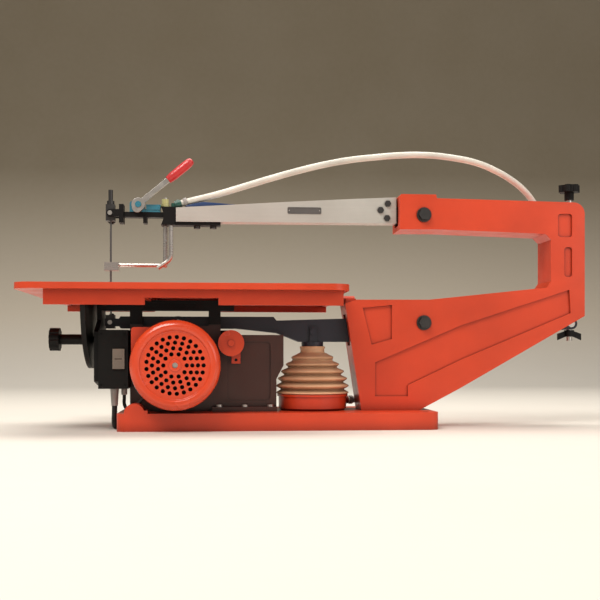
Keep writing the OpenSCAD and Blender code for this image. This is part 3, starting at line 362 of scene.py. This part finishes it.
def moulded(name, colour, low, high, texture=0.15, grain=900, coat=0.0, gloss=0.5):
    finish = Finish(name, Coat_Weight=coat, Specular_IOR_Level=gloss)
    cloud = finish.noise(20, 4)
    tint = finish.ramp(cloud, (0.3, shade_of(colour, 0.82)), (0.7, shade_of(colour, 1.12)))
    # Painted shade: the colour is darkened where other surfaces crowd round.
    finish.colour(finish.painted_hollow_shade(tint, (0.45, 0.43, 0.42), 0.006))
    finish.rough(finish.noise(60, 3), low, high)
    finish.bump(finish.noise(grain, 2), texture, 0.0003)
    return finish.material


black_moulding = moulded("black_moulding", (0.0065, 0.0055, 0.005), 0.42, 0.58, 0.25, gloss=0.2)
grey_moulding = moulded("grey_moulding", (0.20, 0.165, 0.13), 0.4, 0.55, 0.15)
relief_grey = moulded("relief_grey", (0.36, 0.33, 0.31), 0.45, 0.6, 0.2)
red_grip = moulded("red_grip", (0.56, 0.022, 0.024), 0.28, 0.40, 0.04, 500, 0.25)
teal_moulding = moulded("teal_moulding", (0.035, 0.20, 0.28), 0.22, 0.36, 0.06, 700, 0.3)
navy_moulding = moulded("navy_moulding", (0.025, 0.055, 0.16), 0.25, 0.4, 0.06, 700, 0.3)
green_moulding = moulded("green_moulding", (0.02, 0.10, 0.075), 0.28, 0.42, 0.08)
cream_moulding = moulded("cream_moulding", (0.72, 0.66, 0.30), 0.3, 0.42, 0.05)
black_rubber = moulded("black_rubber", (0.008, 0.007, 0.007), 0.5, 0.68, 0.2)
white_hose = moulded("white_hose", (0.72, 0.68, 0.60), 0.34, 0.48, 0.05, 600, 0.15)
plate_grey = moulded("plate_grey", (0.10, 0.095, 0.09), 0.4, 0.5, 0.05)
print("plastics and rubbers made")

# %% [markdown]
# The bellows is tan rubber. Its colour is darkened where the folds crowd together: painted
# shade in the folds.

# %% Bellows rubber
bellows_low, bellows_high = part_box("bellows")
tan_rubber = Finish("bellows_rubber")
cloud = tan_rubber.noise(26, 5)
tan = tan_rubber.ramp(cloud, (0.3, (0.62, 0.345, 0.19)), (0.7, (0.80, 0.49, 0.29)))
# Painted shade: the tan is darkened deep in the folds.
tan_rubber.colour(tan_rubber.painted_hollow_shade(tan, (0.20, 0.15, 0.12), 0.009))
tan_rubber.rough(tan_rubber.noise(70, 3), 0.5, 0.68)
tan_rubber.bump(tan_rubber.noise(700, 3), 0.15, 0.0004)
bellows_rubber = tan_rubber.material

# %% [markdown]
# The cords come first, because they have to lie exactly where their CAD solids are. The mains
# lead leaves a tapered relief under the switch box, drops to the bench, follows the base round
# its corner, and is coiled close behind it. The points are the same as the CAD's.

# %% The mains lead
CORD = 7 * MM
cord_points = [
    (-218, -45, 32), (-218, -45, 27), (-218.3, -43.6, 20), (-219, -39.5, 13),
    (-219.5, -33, 8), (-220, -25, 4.5), (-221, -15, 3.5), (-222, -3, 3.5),
    (-223, 12, 3.5), (-224, 30, 3.5), (-224.5, 48, 3.5), (-224, 64, 3.5),
    (-221, 79, 3.5), (-214, 91, 3.5), (-203, 100, 3.5), (-189, 105, 3.5),
    (-172, 107, 3.5), (-152, 107.5, 3.5), (-132, 107.5, 3.5), (-112, 107.5, 3.5),
]
lead_in = [Vector(p) * MM for p in cord_points]
COIL_X, COIL_Y = -0.112, 0.152
COIL_MID = 37.5 * MM
LAYER_TURNS = 3
STEPS = 24
RISE_STEPS = 10


def coil_turns():
    """Three turns winding inwards on the bench, then three winding outwards on top."""
    centre = Vector((COIL_X, COIL_Y, 0))
    points = []
    for layer in range(2):
        for step in range(1, LAYER_TURNS * STEPS + 1):
            done = step / STEPS
            inward = 1.0 - done / LAYER_TURNS * 2
            spread = -1.0 + done / LAYER_TURNS * 2 if layer else inward
            radius = COIL_MID + CORD * spread
            angle = math.radians(-90) + 2 * math.pi * done
            rise = min(1.0, step / RISE_STEPS) if layer else 0.0
            height = CORD * (0.5 + rise * 0.98)
            around = Vector((radius * math.cos(angle), radius * math.sin(angle), height))
            points.append(centre + around)
    return points


PLUG_Y, TOP_LAYER_Z = 0.1075, 0.0104
lead_out = [Vector((COIL_X + MM * x, PLUG_Y, TOP_LAYER_Z)) for x in (11, 22, 33, 44)]
cord_path = lead_in + coil_turns() + lead_out


def tube(name, points, diameter, sides=12, smoothing=3):
    """A round tube along points: a curve with a bevel, made into a mesh with closed ends."""
    curve = bpy.data.curves.new(name, "CURVE")
    curve.dimensions = "3D"
    curve.bevel_depth = diameter / 2
    curve.bevel_resolution = sides // 4
    curve.use_fill_caps = True
    spline = curve.splines.new("BEZIER")
    spline.bezier_points.add(len(points) - 1)
    for knot, point in zip(spline.bezier_points, points):
        knot.co = point
        knot.handle_left_type = knot.handle_right_type = "AUTO"
    curve.resolution_u = smoothing
    obj = bpy.data.objects.new(name, curve)
    bpy.context.scene.collection.objects.link(obj)
    only(obj)
    bpy.ops.object.convert(target="MESH")
    obj = bpy.context.view_layer.objects.active
    outward(settle(obj, name))
    return smooth(obj, 60)


mains_lead = tube("mains_lead", cord_path, CORD)
finish_piece(mains_lead, "saw_frame", "black_rubber", black_rubber, "power_cord", "cord_coil")

# %% [markdown]
# A band of rubber holds the coil together. It could be a cable tie, but a flat band is what
# usually comes with such a lead. It starts as a box round the six turns. Its two ends are taken
# off, the sides are given a thickness, and the edges are rounded.

# %% The band round the coil


def band(name, centre, size, thickness, material, slot):
    """A flat band that closes round a bundle: a box without its two ends, made thick."""
    bpy.ops.object.select_all(action="DESELECT")
    bpy.ops.mesh.primitive_cube_add(size=1, location=centre)
    obj = bpy.context.object
    obj.scale = size
    settle(obj, name)
    bpy.ops.object.mode_set(mode="EDIT")
    pick(obj, "FACE", lambda place, normal: abs(normal.x) > 0.9)
    bpy.ops.mesh.delete(type="FACE")
    pick(obj, "EDGE", lambda a, b: abs(a.x - b.x) > 0.001)
    bpy.ops.mesh.bevel(offset=0.003, segments=4)
    bpy.ops.object.mode_set(mode="OBJECT")
    outward(obj)
    apply_modifier(obj, "SOLIDIFY", thickness=thickness, offset=1.0)
    apply_modifier(obj, "BEVEL", width=0.0002, segments=2)
    smooth(obj)
    return finish_piece(obj, "saw_frame", slot, material)


coil_band = band(
    "coil_band", (COIL_X, COIL_Y + COIL_MID, 0.0077), (0.009, 0.0225, 0.0146), 0.0008,
    grey_moulding, "grey_plastic",
)

# %% [markdown]
# CAD leaves every edge sharp. A copy of each mesh is merged, its flat triangles are joined in
# pairs, and a Bevel modifier breaks each edge that turns by more than 28 degrees. The widths
# given below are upper limits and are not reached. The modifier's overlap limit brings a whole
# part down to what its shortest edge can take: a few hundredths of a millimetre or less on most
# parts, 0.26 mm on the front plate, and the full 0.4 mm on the tension lever. So the castings
# stay nearly sharp, where real ones have round edges. Without that limit the wide bevels fold
# over themselves at the corners and leave dark creases. The Weighted Normal modifier keeps large
# faces flat.

# %% Break the edges of a CAD node
EDGE_TURN = math.radians(28)
BODY_OF = {
    node: body
    for body, nodes in frame["record"]["behaviour"]["bodies"].items()
    for node in nodes
}
SLOT_OF = {row["node"]: row["material_slot"] for row in frame["record"]["subparts"]}


def merged_copy(node):
    """A copy of a CAD node's mesh with its flat triangles joined in pairs."""
    copy = bpy.data.objects.new(node + "_finished", frame["nodes"][node].data.copy())
    bpy.context.scene.collection.objects.link(copy)
    only(copy)
    bpy.ops.mesh.customdata_custom_splitnormals_clear()
    bpy.ops.object.mode_set(mode="EDIT")
    bpy.ops.mesh.select_all(action="SELECT")
    bpy.ops.mesh.remove_doubles(threshold=0.000002)
    bpy.ops.mesh.tris_convert_to_quads(face_threshold=math.radians(1), shape_threshold=math.pi)
    bpy.ops.object.mode_set(mode="OBJECT")
    return copy


def pull_back(obj, mesh, width):
    """Where slim corners meet, a bevel can throw a point far out. Put it back on the surface."""
    surface = BVHTree.FromPolygons(
        [v.co for v in mesh.vertices], [tuple(p.vertices) for p in mesh.polygons]
    )
    for vertex in obj.data.vertices:
        nearest, _, _, distance = surface.find_nearest(vertex.co)
        if distance > 0.8 * width:
            vertex.co = nearest


def softened(node, width_mm, material):
    """Stand a copy with broken edges, of at most this width, in for a CAD node."""
    copy = merged_copy(node)
    before = len(copy.data.polygons)
    apply_modifier(
        copy, "BEVEL", width=width_mm * MM, segments=2, limit_method="ANGLE",
        angle_limit=EDGE_TURN, use_clamp_overlap=True, miter_outer="MITER_ARC", loop_slide=False,
    )
    pull_back(copy, frame["nodes"][node].data, width_mm * MM)
    smooth(copy, 32)
    apply_modifier(copy, "WEIGHTED_NORMAL", keep_sharp=True)
    finish_piece(copy, BODY_OF[node], SLOT_OF[node], material, node)
    print(node, "faces:", before, "->", len(copy.data.polygons))
    return copy


for node, width in (("base_casting", 1.4), ("frame_near_half", 1.2), ("frame_far_half", 1.2),
                    ("bellows_cup", 0.7), ("table_top", 1.0)):
    softened(node, width, orange_enamel)
for node, width in (("fan_cover", 0.7), ("motor_end_shield", 0.6), ("capacitor", 0.7)):
    softened(node, width, orange_moulding)

# %% [markdown]
# The sheet and bar parts are treated in the same way, with smaller upper limits.

# %% Break the edges of plates, bars and boxes
for node, width, material in (
    ("motor_plate", 0.4, brown_enamel),
    ("table_rails", 0.5, black_enamel),
    ("front_plate", 0.6, black_enamel),
    ("lower_arm", 0.7, arm_enamel),
    ("upper_arm_tube", 0.7, drawn_aluminium),
    ("arm_nose", 0.4, black_enamel),
    ("cam_housing", 0.5, teal_moulding),
    ("tension_lever", 0.4, bright_steel),
    ("switch_box", 0.6, black_moulding),
    ("switch_cover", 0.4, black_moulding),
    ("rocker_button", 0.5, grey_moulding),
    ("tilt_lock_knob", 0.5, black_moulding),
    ("tension_knob", 0.5, black_moulding),
    ("power_plug", 0.6, black_rubber),
):
    softened(node, width, material)

# %% [markdown]

# %% [markdown]
# A short lead runs from the switch box to the motor's lower corner.

# %% The motor's lead
motor_points = [
    Vector(p) * MM for p in (
        (-206, -40, 46), (-206, -40, 41), (-206, -41, 36), (-204.5, -43, 30.5),
        (-201, -45.5, 27.3), (-196.5, -48.5, 27), (-192, -50, 30), (-188, -50, 34),
        (-184, -50, 38), (-180, -50, 42),
    )
]
motor_lead = tube("motor_lead_round", motor_points, 4.5 * MM, smoothing=6)
finish_piece(motor_lead, "saw_frame", SLOT_OF["motor_lead"], black_rubber, "motor_lead")

# %% [markdown]
# The air hose is white plastic tube. It leaves the fitting on the arm's nose, arches over the
# frame, comes down behind it and ends on the bellows cup. On the saw its front end rocks with
# the arm and its rear end stands still; here it has no body and keeps one shape.

# %% The air hose
hose_points = [
    Vector(p) * MM for p in (
        (-133, 0, 304.5), (-122, 0, 307.5), (-108, 0, 311), (-80, 0, 318.5), (-53, 0, 327),
        (-12, 0, 340), (29, 0, 352), (64, 1, 361), (98, 3, 368), (133, 6, 373),
        (168, 9, 377), (205, 13, 379), (246, 18, 377), (284, 23, 371), (312, 29, 362),
        (337, 34, 350), (357, 38, 336), (373, 41, 318), (384, 43, 298), (391, 44, 274),
        (394, 44, 248), (393, 44, 220), (389, 45, 192), (380, 46, 164), (366, 47, 138),
        (346, 48, 112), (320, 48, 90), (290, 48, 72), (256, 48, 58), (220, 48, 48),
        (184, 47, 42), (154, 45, 38), (130, 41, 36), (113, 35, 35), (98, 29, 35),
    )
]
HOSE = 9 * MM
air_hose = tube("air_hose_round", hose_points, HOSE, sides=24, smoothing=5)
finish_piece(air_hose, None, SLOT_OF["air_hose"], white_hose, "air_hose")
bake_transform(air_hose)

# %% [markdown]
# Round parts are turned on a lathe, and Blender's lathe is Spin. A chain of points is the half
# outline, as distance from the axis and height, in millimetres. It is spun about Z, its doubles
# are merged, and the result is laid along the direction that the part points in.

# %% A lathe


def turned(name, outline, origin, direction=(0, 0, 1), steps=40, wall=None):
    """Spin an outline of (radius, height) in millimetres and stand it on its place."""
    mesh = bpy.data.meshes.new(name)
    points = [(r * MM, 0, h * MM) for r, h in outline]
    mesh.from_pydata(points, [(i, i + 1) for i in range(len(points) - 1)], [])
    obj = bpy.data.objects.new(name, mesh)
    bpy.context.scene.collection.objects.link(obj)
    only(obj)
    bpy.ops.object.mode_set(mode="EDIT")
    bpy.ops.mesh.select_all(action="SELECT")
    bpy.ops.mesh.spin(steps=steps, angle=2 * math.pi, center=(0, 0, 0), axis=(0, 0, 1))
    bpy.ops.mesh.select_all(action="SELECT")
    bpy.ops.mesh.remove_doubles(threshold=0.00001)
    bpy.ops.mesh.normals_make_consistent(inside=False)
    bpy.ops.object.mode_set(mode="OBJECT")
    if wall:
        apply_modifier(obj, "SOLIDIFY", thickness=wall * MM, offset=-1.0)
    turn = Vector((0, 0, 1)).rotation_difference(Vector(direction)).to_matrix().to_4x4()
    obj.matrix_world = Matrix.Translation(origin) @ turn
    settle(obj, name)
    return smooth(obj, 40)


# %% [markdown]
# The bellows is a dome of six folds with a plain collar on top. Each fold's crest is a little
# sharper than its root, so the outline takes a power of a cosine. The crests come closer to the
# axis towards the top. Its foot sits on the cup and its collar hangs on the arm's bracket. On the
# saw it stretches between the two as the arm rocks; here it has no body and keeps one shape.

# %% The bellows
CRESTS = ((46.5, 49.8), (56, 50.0), (66, 47.8), (76, 43.3), (86, 36.5), (95.5, 28.5), (104, 22.0))
FOLD_DEPTH = 6.5
FOLDS_FROM, FOLDS_TO = 46.2, 100.0
SAMPLES = 62


def crest_radius(height):
    """The crests' envelope at this height."""
    for (h0, r0), (h1, r1) in zip(CRESTS, CRESTS[1:]):
        if height <= h1:
            return r0 + (r1 - r0) * max(0.0, (height - h0) / (h1 - h0))
    return CRESTS[-1][1]


def fold_phase(height):
    """How far through its fold this height is: 0 at a crest, 0.5 at a root."""
    for (h0, _), (h1, _) in zip(CRESTS, CRESTS[1:]):
        if height <= h1:
            return max(0.0, (height - h0) / (h1 - h0))
    return 0.0


outline = [(43.5, 45.3), (48.0, 45.3)]
for i in range(SAMPLES):
    height = FOLDS_FROM + (FOLDS_TO - FOLDS_FROM) * i / (SAMPLES - 1)
    swing = (0.5 + 0.5 * math.cos(2 * math.pi * fold_phase(height))) ** 0.8
    depth = FOLD_DEPTH * (1.0 if height < 90 else 0.75)
    outline.append((crest_radius(height) - depth * (1 - swing), height))
outline += [(17.2, 101.2), (16.6, 102.5), (16.5, 106.5), (17.4, 107.6)]
outline += [(17.4, 109.3), (16.8, 109.9), (13, 109.9)]
bellows_piece = turned("bellows_folds", outline, (0.046, 0, 0), steps=80, wall=1.0)
finish_piece(bellows_piece, None, SLOT_OF["bellows"], bellows_rubber, "bellows")
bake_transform(bellows_piece)
print("bellows:", [round(c * 1000, 1) for c in bellows_piece.dimensions], "CAD:", bellows_low, bellows_high)

# %% [markdown]
# The tension lever has a dipped plastic grip: thin at the mouth, full in the hand, and round at
# the end. It is turned, and lies on the lever's own line.

# %% The red grip
LEVER_TURN = math.radians(40)
lever_line = Vector((math.cos(LEVER_TURN), 0, math.sin(LEVER_TURN)))
lever_pin = Vector((-0.190, -0.0135, 0.300))
grip = turned(
    "lever_grip_dipped",
    [(0, 51.6), (4.6, 51.6), (5.0, 52.0), (5.2, 53.2), (5.2, 54.2), (5.7, 55.4), (6.1, 60),
     (6.2, 72), (6.1, 84), (5.9, 88), (5.2, 91.2), (4.0, 93), (2.4, 93.9), (0, 94.1)],
    lever_pin, lever_line, steps=40,
)
finish_piece(grip, BODY_OF["lever_grip"], SLOT_OF["lever_grip"], red_grip, "lever_grip")

# %% [markdown]
# A dark navy ramp lies on the arm's nose. It is a bar under the hose whose top edge follows the
# hose's rise and then runs out on the tube.

# %% The ramp under the hose


def bar(name, outline_xz, y0, y1, round_mm, body, slot, material):
    """Extrude a side outline (X, Z in millimetres) from y0 to y1 and round its edges."""
    mesh = bpy.data.meshes.new(name)
    points = [(x * MM, y0 * MM, z * MM) for x, z in outline_xz]
    mesh.from_pydata(points, [], [list(range(len(points)))])
    obj = bpy.data.objects.new(name, mesh)
    bpy.context.scene.collection.objects.link(obj)
    only(obj)
    bpy.ops.object.mode_set(mode="EDIT")
    bpy.ops.mesh.select_all(action="SELECT")
    bpy.ops.mesh.extrude_region_move(TRANSFORM_OT_translate={"value": (0, (y1 - y0) * MM, 0)})
    bpy.ops.mesh.select_all(action="SELECT")
    bpy.ops.mesh.normals_make_consistent(inside=False)
    bpy.ops.object.mode_set(mode="OBJECT")
    apply_modifier(obj, "BEVEL", width=round_mm * MM, segments=3, limit_method="ANGLE")
    smooth(obj)
    return finish_piece(obj, body, slot, material)


bar(
    "hose_ramp", [(-127, 297.3), (-62, 301.6), (-60, 303.2), (-104, 306.2), (-118, 303.4), (-127, 300.8)],
    -5, 5, 0.5, "upper_arm_body", "blue_plastic", navy_moulding,
)

# %% [markdown]
# The arm carries a small dark plate, left blank here, on two drive pins. A plate is a thin box
# with rounded corners, and its field is inset and sunk a little inside a raised border.

# %% The blank plate on the arm
TUBE_SIDE = -0.011
bpy.ops.object.select_all(action="DESELECT")
bpy.ops.mesh.primitive_cube_add(size=1, location=(0.034, TUBE_SIDE - 0.0002, 0.2950))
arm_plate = bpy.context.object
arm_plate.scale = (0.046, 0.0010, 0.0088)
settle(arm_plate, "arm_plate")
bpy.ops.object.mode_set(mode="EDIT")
pick(arm_plate, "EDGE", lambda a, b: abs(a.y - b.y) > 0.0005)
bpy.ops.mesh.bevel(offset=0.0014, segments=4)
pick(arm_plate, "FACE", lambda place, normal: normal.y < -0.9)
bpy.ops.mesh.inset(thickness=0.0007)
bpy.ops.mesh.inset(thickness=0.0002, depth=-0.00025)
bpy.ops.object.mode_set(mode="OBJECT")
smooth(arm_plate)
finish_piece(arm_plate, "upper_arm_body", "black_plastic", plate_grey)


def studs(name, places, direction, radius, height, body, slot, material):
    """The same domed stud at several places, each its own piece."""
    outline = [(0, -height), (radius, -height), (radius, 0), (radius * 0.94, height * 0.45),
               (radius * 0.7, height * 0.85), (radius * 0.35, height), (0, height * 1.04)]
    for number, place in enumerate(places):
        stud = turned(f"{name}_{number}", outline, place, direction, steps=20)
        finish_piece(stud, body, slot, material)


studs("plate_pin", [(x, TUBE_SIDE - 0.0006, 0.2950) for x in (0.0132, 0.0548)], (0, -1, 0),
      0.7, 0.35, "upper_arm_body", "steel", bright_steel)

# %% [markdown]
# The hose is pushed over the fitting at each end and held by a plastic ring.

# %% The rings on the hose's ends


def hose_ring(name, index, after, body):
    """A ring round the hose between two of its points, square to it."""
    line = (hose_points[after] - hose_points[index]).normalized()
    place = hose_points[index] + line * 0.003
    outline = [(4.55, 0), (5.6, 0), (6.0, 0.5), (6.0, 4.5), (5.6, 5.0), (4.55, 5.0), (4.55, 0)]
    ring = turned(name, outline, place, line, steps=32)
    return finish_piece(ring, body, "grey_plastic", relief_grey)


hose_ring("hose_ring_front", 0, 1, "upper_arm_body")
hose_ring("hose_ring_rear", -1, -2, "saw_frame")

# %% [markdown]
# Every other node keeps its CAD shape and gets the finish of its slot. Some nodes share a slot
# but not a finish, such as the blade, which is darker than the other steel, so those are named.

# %% Finish the nodes that stay
FINISH_OF_SLOT = {
    "orange_paint": orange_enamel, "orange_plastic": orange_moulding,
    "dark_paint": brown_enamel, "black_paint": black_enamel, "blue_black_paint": arm_enamel,
    "steel": bright_steel, "dark_steel": black_steel, "iron": laminated_iron,
    "bronze": sintered_bronze, "aluminium": drawn_aluminium, "blue_plastic": teal_moulding,
    "green_plastic": green_moulding, "black_plastic": black_moulding,
    "grey_plastic": grey_moulding, "red_grip": red_grip, "cream_plastic": cream_moulding,
    "tan_rubber": bellows_rubber, "white_hose": white_hose, "black_rubber": black_rubber,
}
FINISH_OF_NODE = {
    "blade": blade_steel, "guard_rod": turned_steel, "blower_pipe": turned_steel,
    "tension_rod": turned_steel, "motor_shaft": turned_steel, "cable_glands": relief_grey,
    "bellows_bracket": arm_enamel,
}
stood_for = {obj.name[: -len("_finished")] for obj in bpy.data.objects if obj.name.endswith("_finished")}
for node, obj in frame["nodes"].items():
    material = FINISH_OF_NODE.get(node) or FINISH_OF_SLOT[SLOT_OF[node]]
    if not obj.material_slots:
        only(obj)
        bpy.ops.object.material_slot_add()
    for place in obj.material_slots:
        place.link = "OBJECT"
        place.material = material
print("finished nodes:", len(frame["nodes"]), "with rounded copies of", len(stood_for))

# %% [markdown]
# The floor is a pale sheet that curves up into a backdrop behind the saw, so the camera sees no
# hard horizon. It is a grid whose far rows are lifted along a quarter circle.

# %% Floor and backdrop
FLOOR_HALF, SWEEP_START, SWEEP_RADIUS = 6.0, 1.6, 1.5
bpy.ops.object.select_all(action="DESELECT")
bpy.ops.mesh.primitive_grid_add(x_subdivisions=8, y_subdivisions=120, size=2 * FLOOR_HALF, location=(0, 0, 0))
floor = bpy.context.object
for vertex in floor.data.vertices:
    past = vertex.co.y - SWEEP_START
    if past > 0:
        turn = min(past / SWEEP_RADIUS, math.radians(90))
        rise = past - SWEEP_RADIUS * turn
        vertex.co.y = SWEEP_START + SWEEP_RADIUS * math.sin(turn)
        vertex.co.z = SWEEP_RADIUS * (1 - math.cos(turn)) + rise
settle(floor, "floor")
smooth(floor, 60)

paper = Finish("backdrop_paper")
split = paper.node("ShaderNodeSeparateXYZ")
paper.link(paper.place, split.inputs["Vector"])
climb = paper.node("ShaderNodeMapRange")
climb.inputs["From Min"].default_value = -0.02
climb.inputs["From Max"].default_value = 1.25
paper.link(split.outputs["Z"], climb.inputs["Value"])
# Painted shade: the paper darkens with height, from pale beige on the floor to dark brown above.
painted_height_shade = paper.ramp(climb.outputs["Result"], (0.0, (0.76, 0.72, 0.655)), (0.22, (0.62, 0.55, 0.45)),
                  (0.75, (0.235, 0.195, 0.135)))
cloud = paper.noise(3.0, 3)
paper.colour(paper.mix(paper.range(cloud, 0.0, 0.06), painted_height_shade, (0.5, 0.46, 0.40)))
paper.rough(paper.noise(40, 3), 0.75, 0.9)
paper.bump(paper.noise(600, 2), 0.03, 0.0003)
floor.data.materials.append(paper.material)

# %% [markdown]
# A studio of three soft boxes lights it: a broad one above and to the front left, a weaker one
# from the right, and one overhead, which lights the top edges. A dim warm world fills what is
# left.

# %% Lights


def soft_box(name, place, aim, size, power, colour):
    data = bpy.data.lights.new(name, "AREA")
    data.shape = "RECTANGLE"
    data.size, data.size_y = size
    data.energy = power
    data.color = colour
    lamp = bpy.data.objects.new(name, data)
    bpy.context.scene.collection.objects.link(lamp)
    lamp.location = place
    lamp.rotation_euler = (Vector(aim) - Vector(place)).to_track_quat("-Z", "Y").to_euler()
    return lamp


soft_box("key_light", (-0.9, -1.3, 2.1), (0.0, 0, 0.15), (1.3, 0.9), 44, (1.0, 0.97, 0.92))
soft_box("fill_light", (1.8, -1.9, 0.9), (0.1, 0, 0.15), (1.4, 1.2), 12, (1.0, 0.97, 0.94))
soft_box("top_light", (0.1, 0.35, 1.9), (0.0, 0, 0.1), (2.0, 0.9), 34, (1.0, 0.96, 0.90))
world = bpy.data.worlds.new("studio")
world.use_nodes = True
background = world.node_tree.nodes["Background"]
background.inputs["Color"].default_value = (1.0, 0.95, 0.88, 1)
background.inputs["Strength"].default_value = 0.34
bpy.context.scene.world = world
bpy.context.scene.view_settings.view_transform = "Standard"
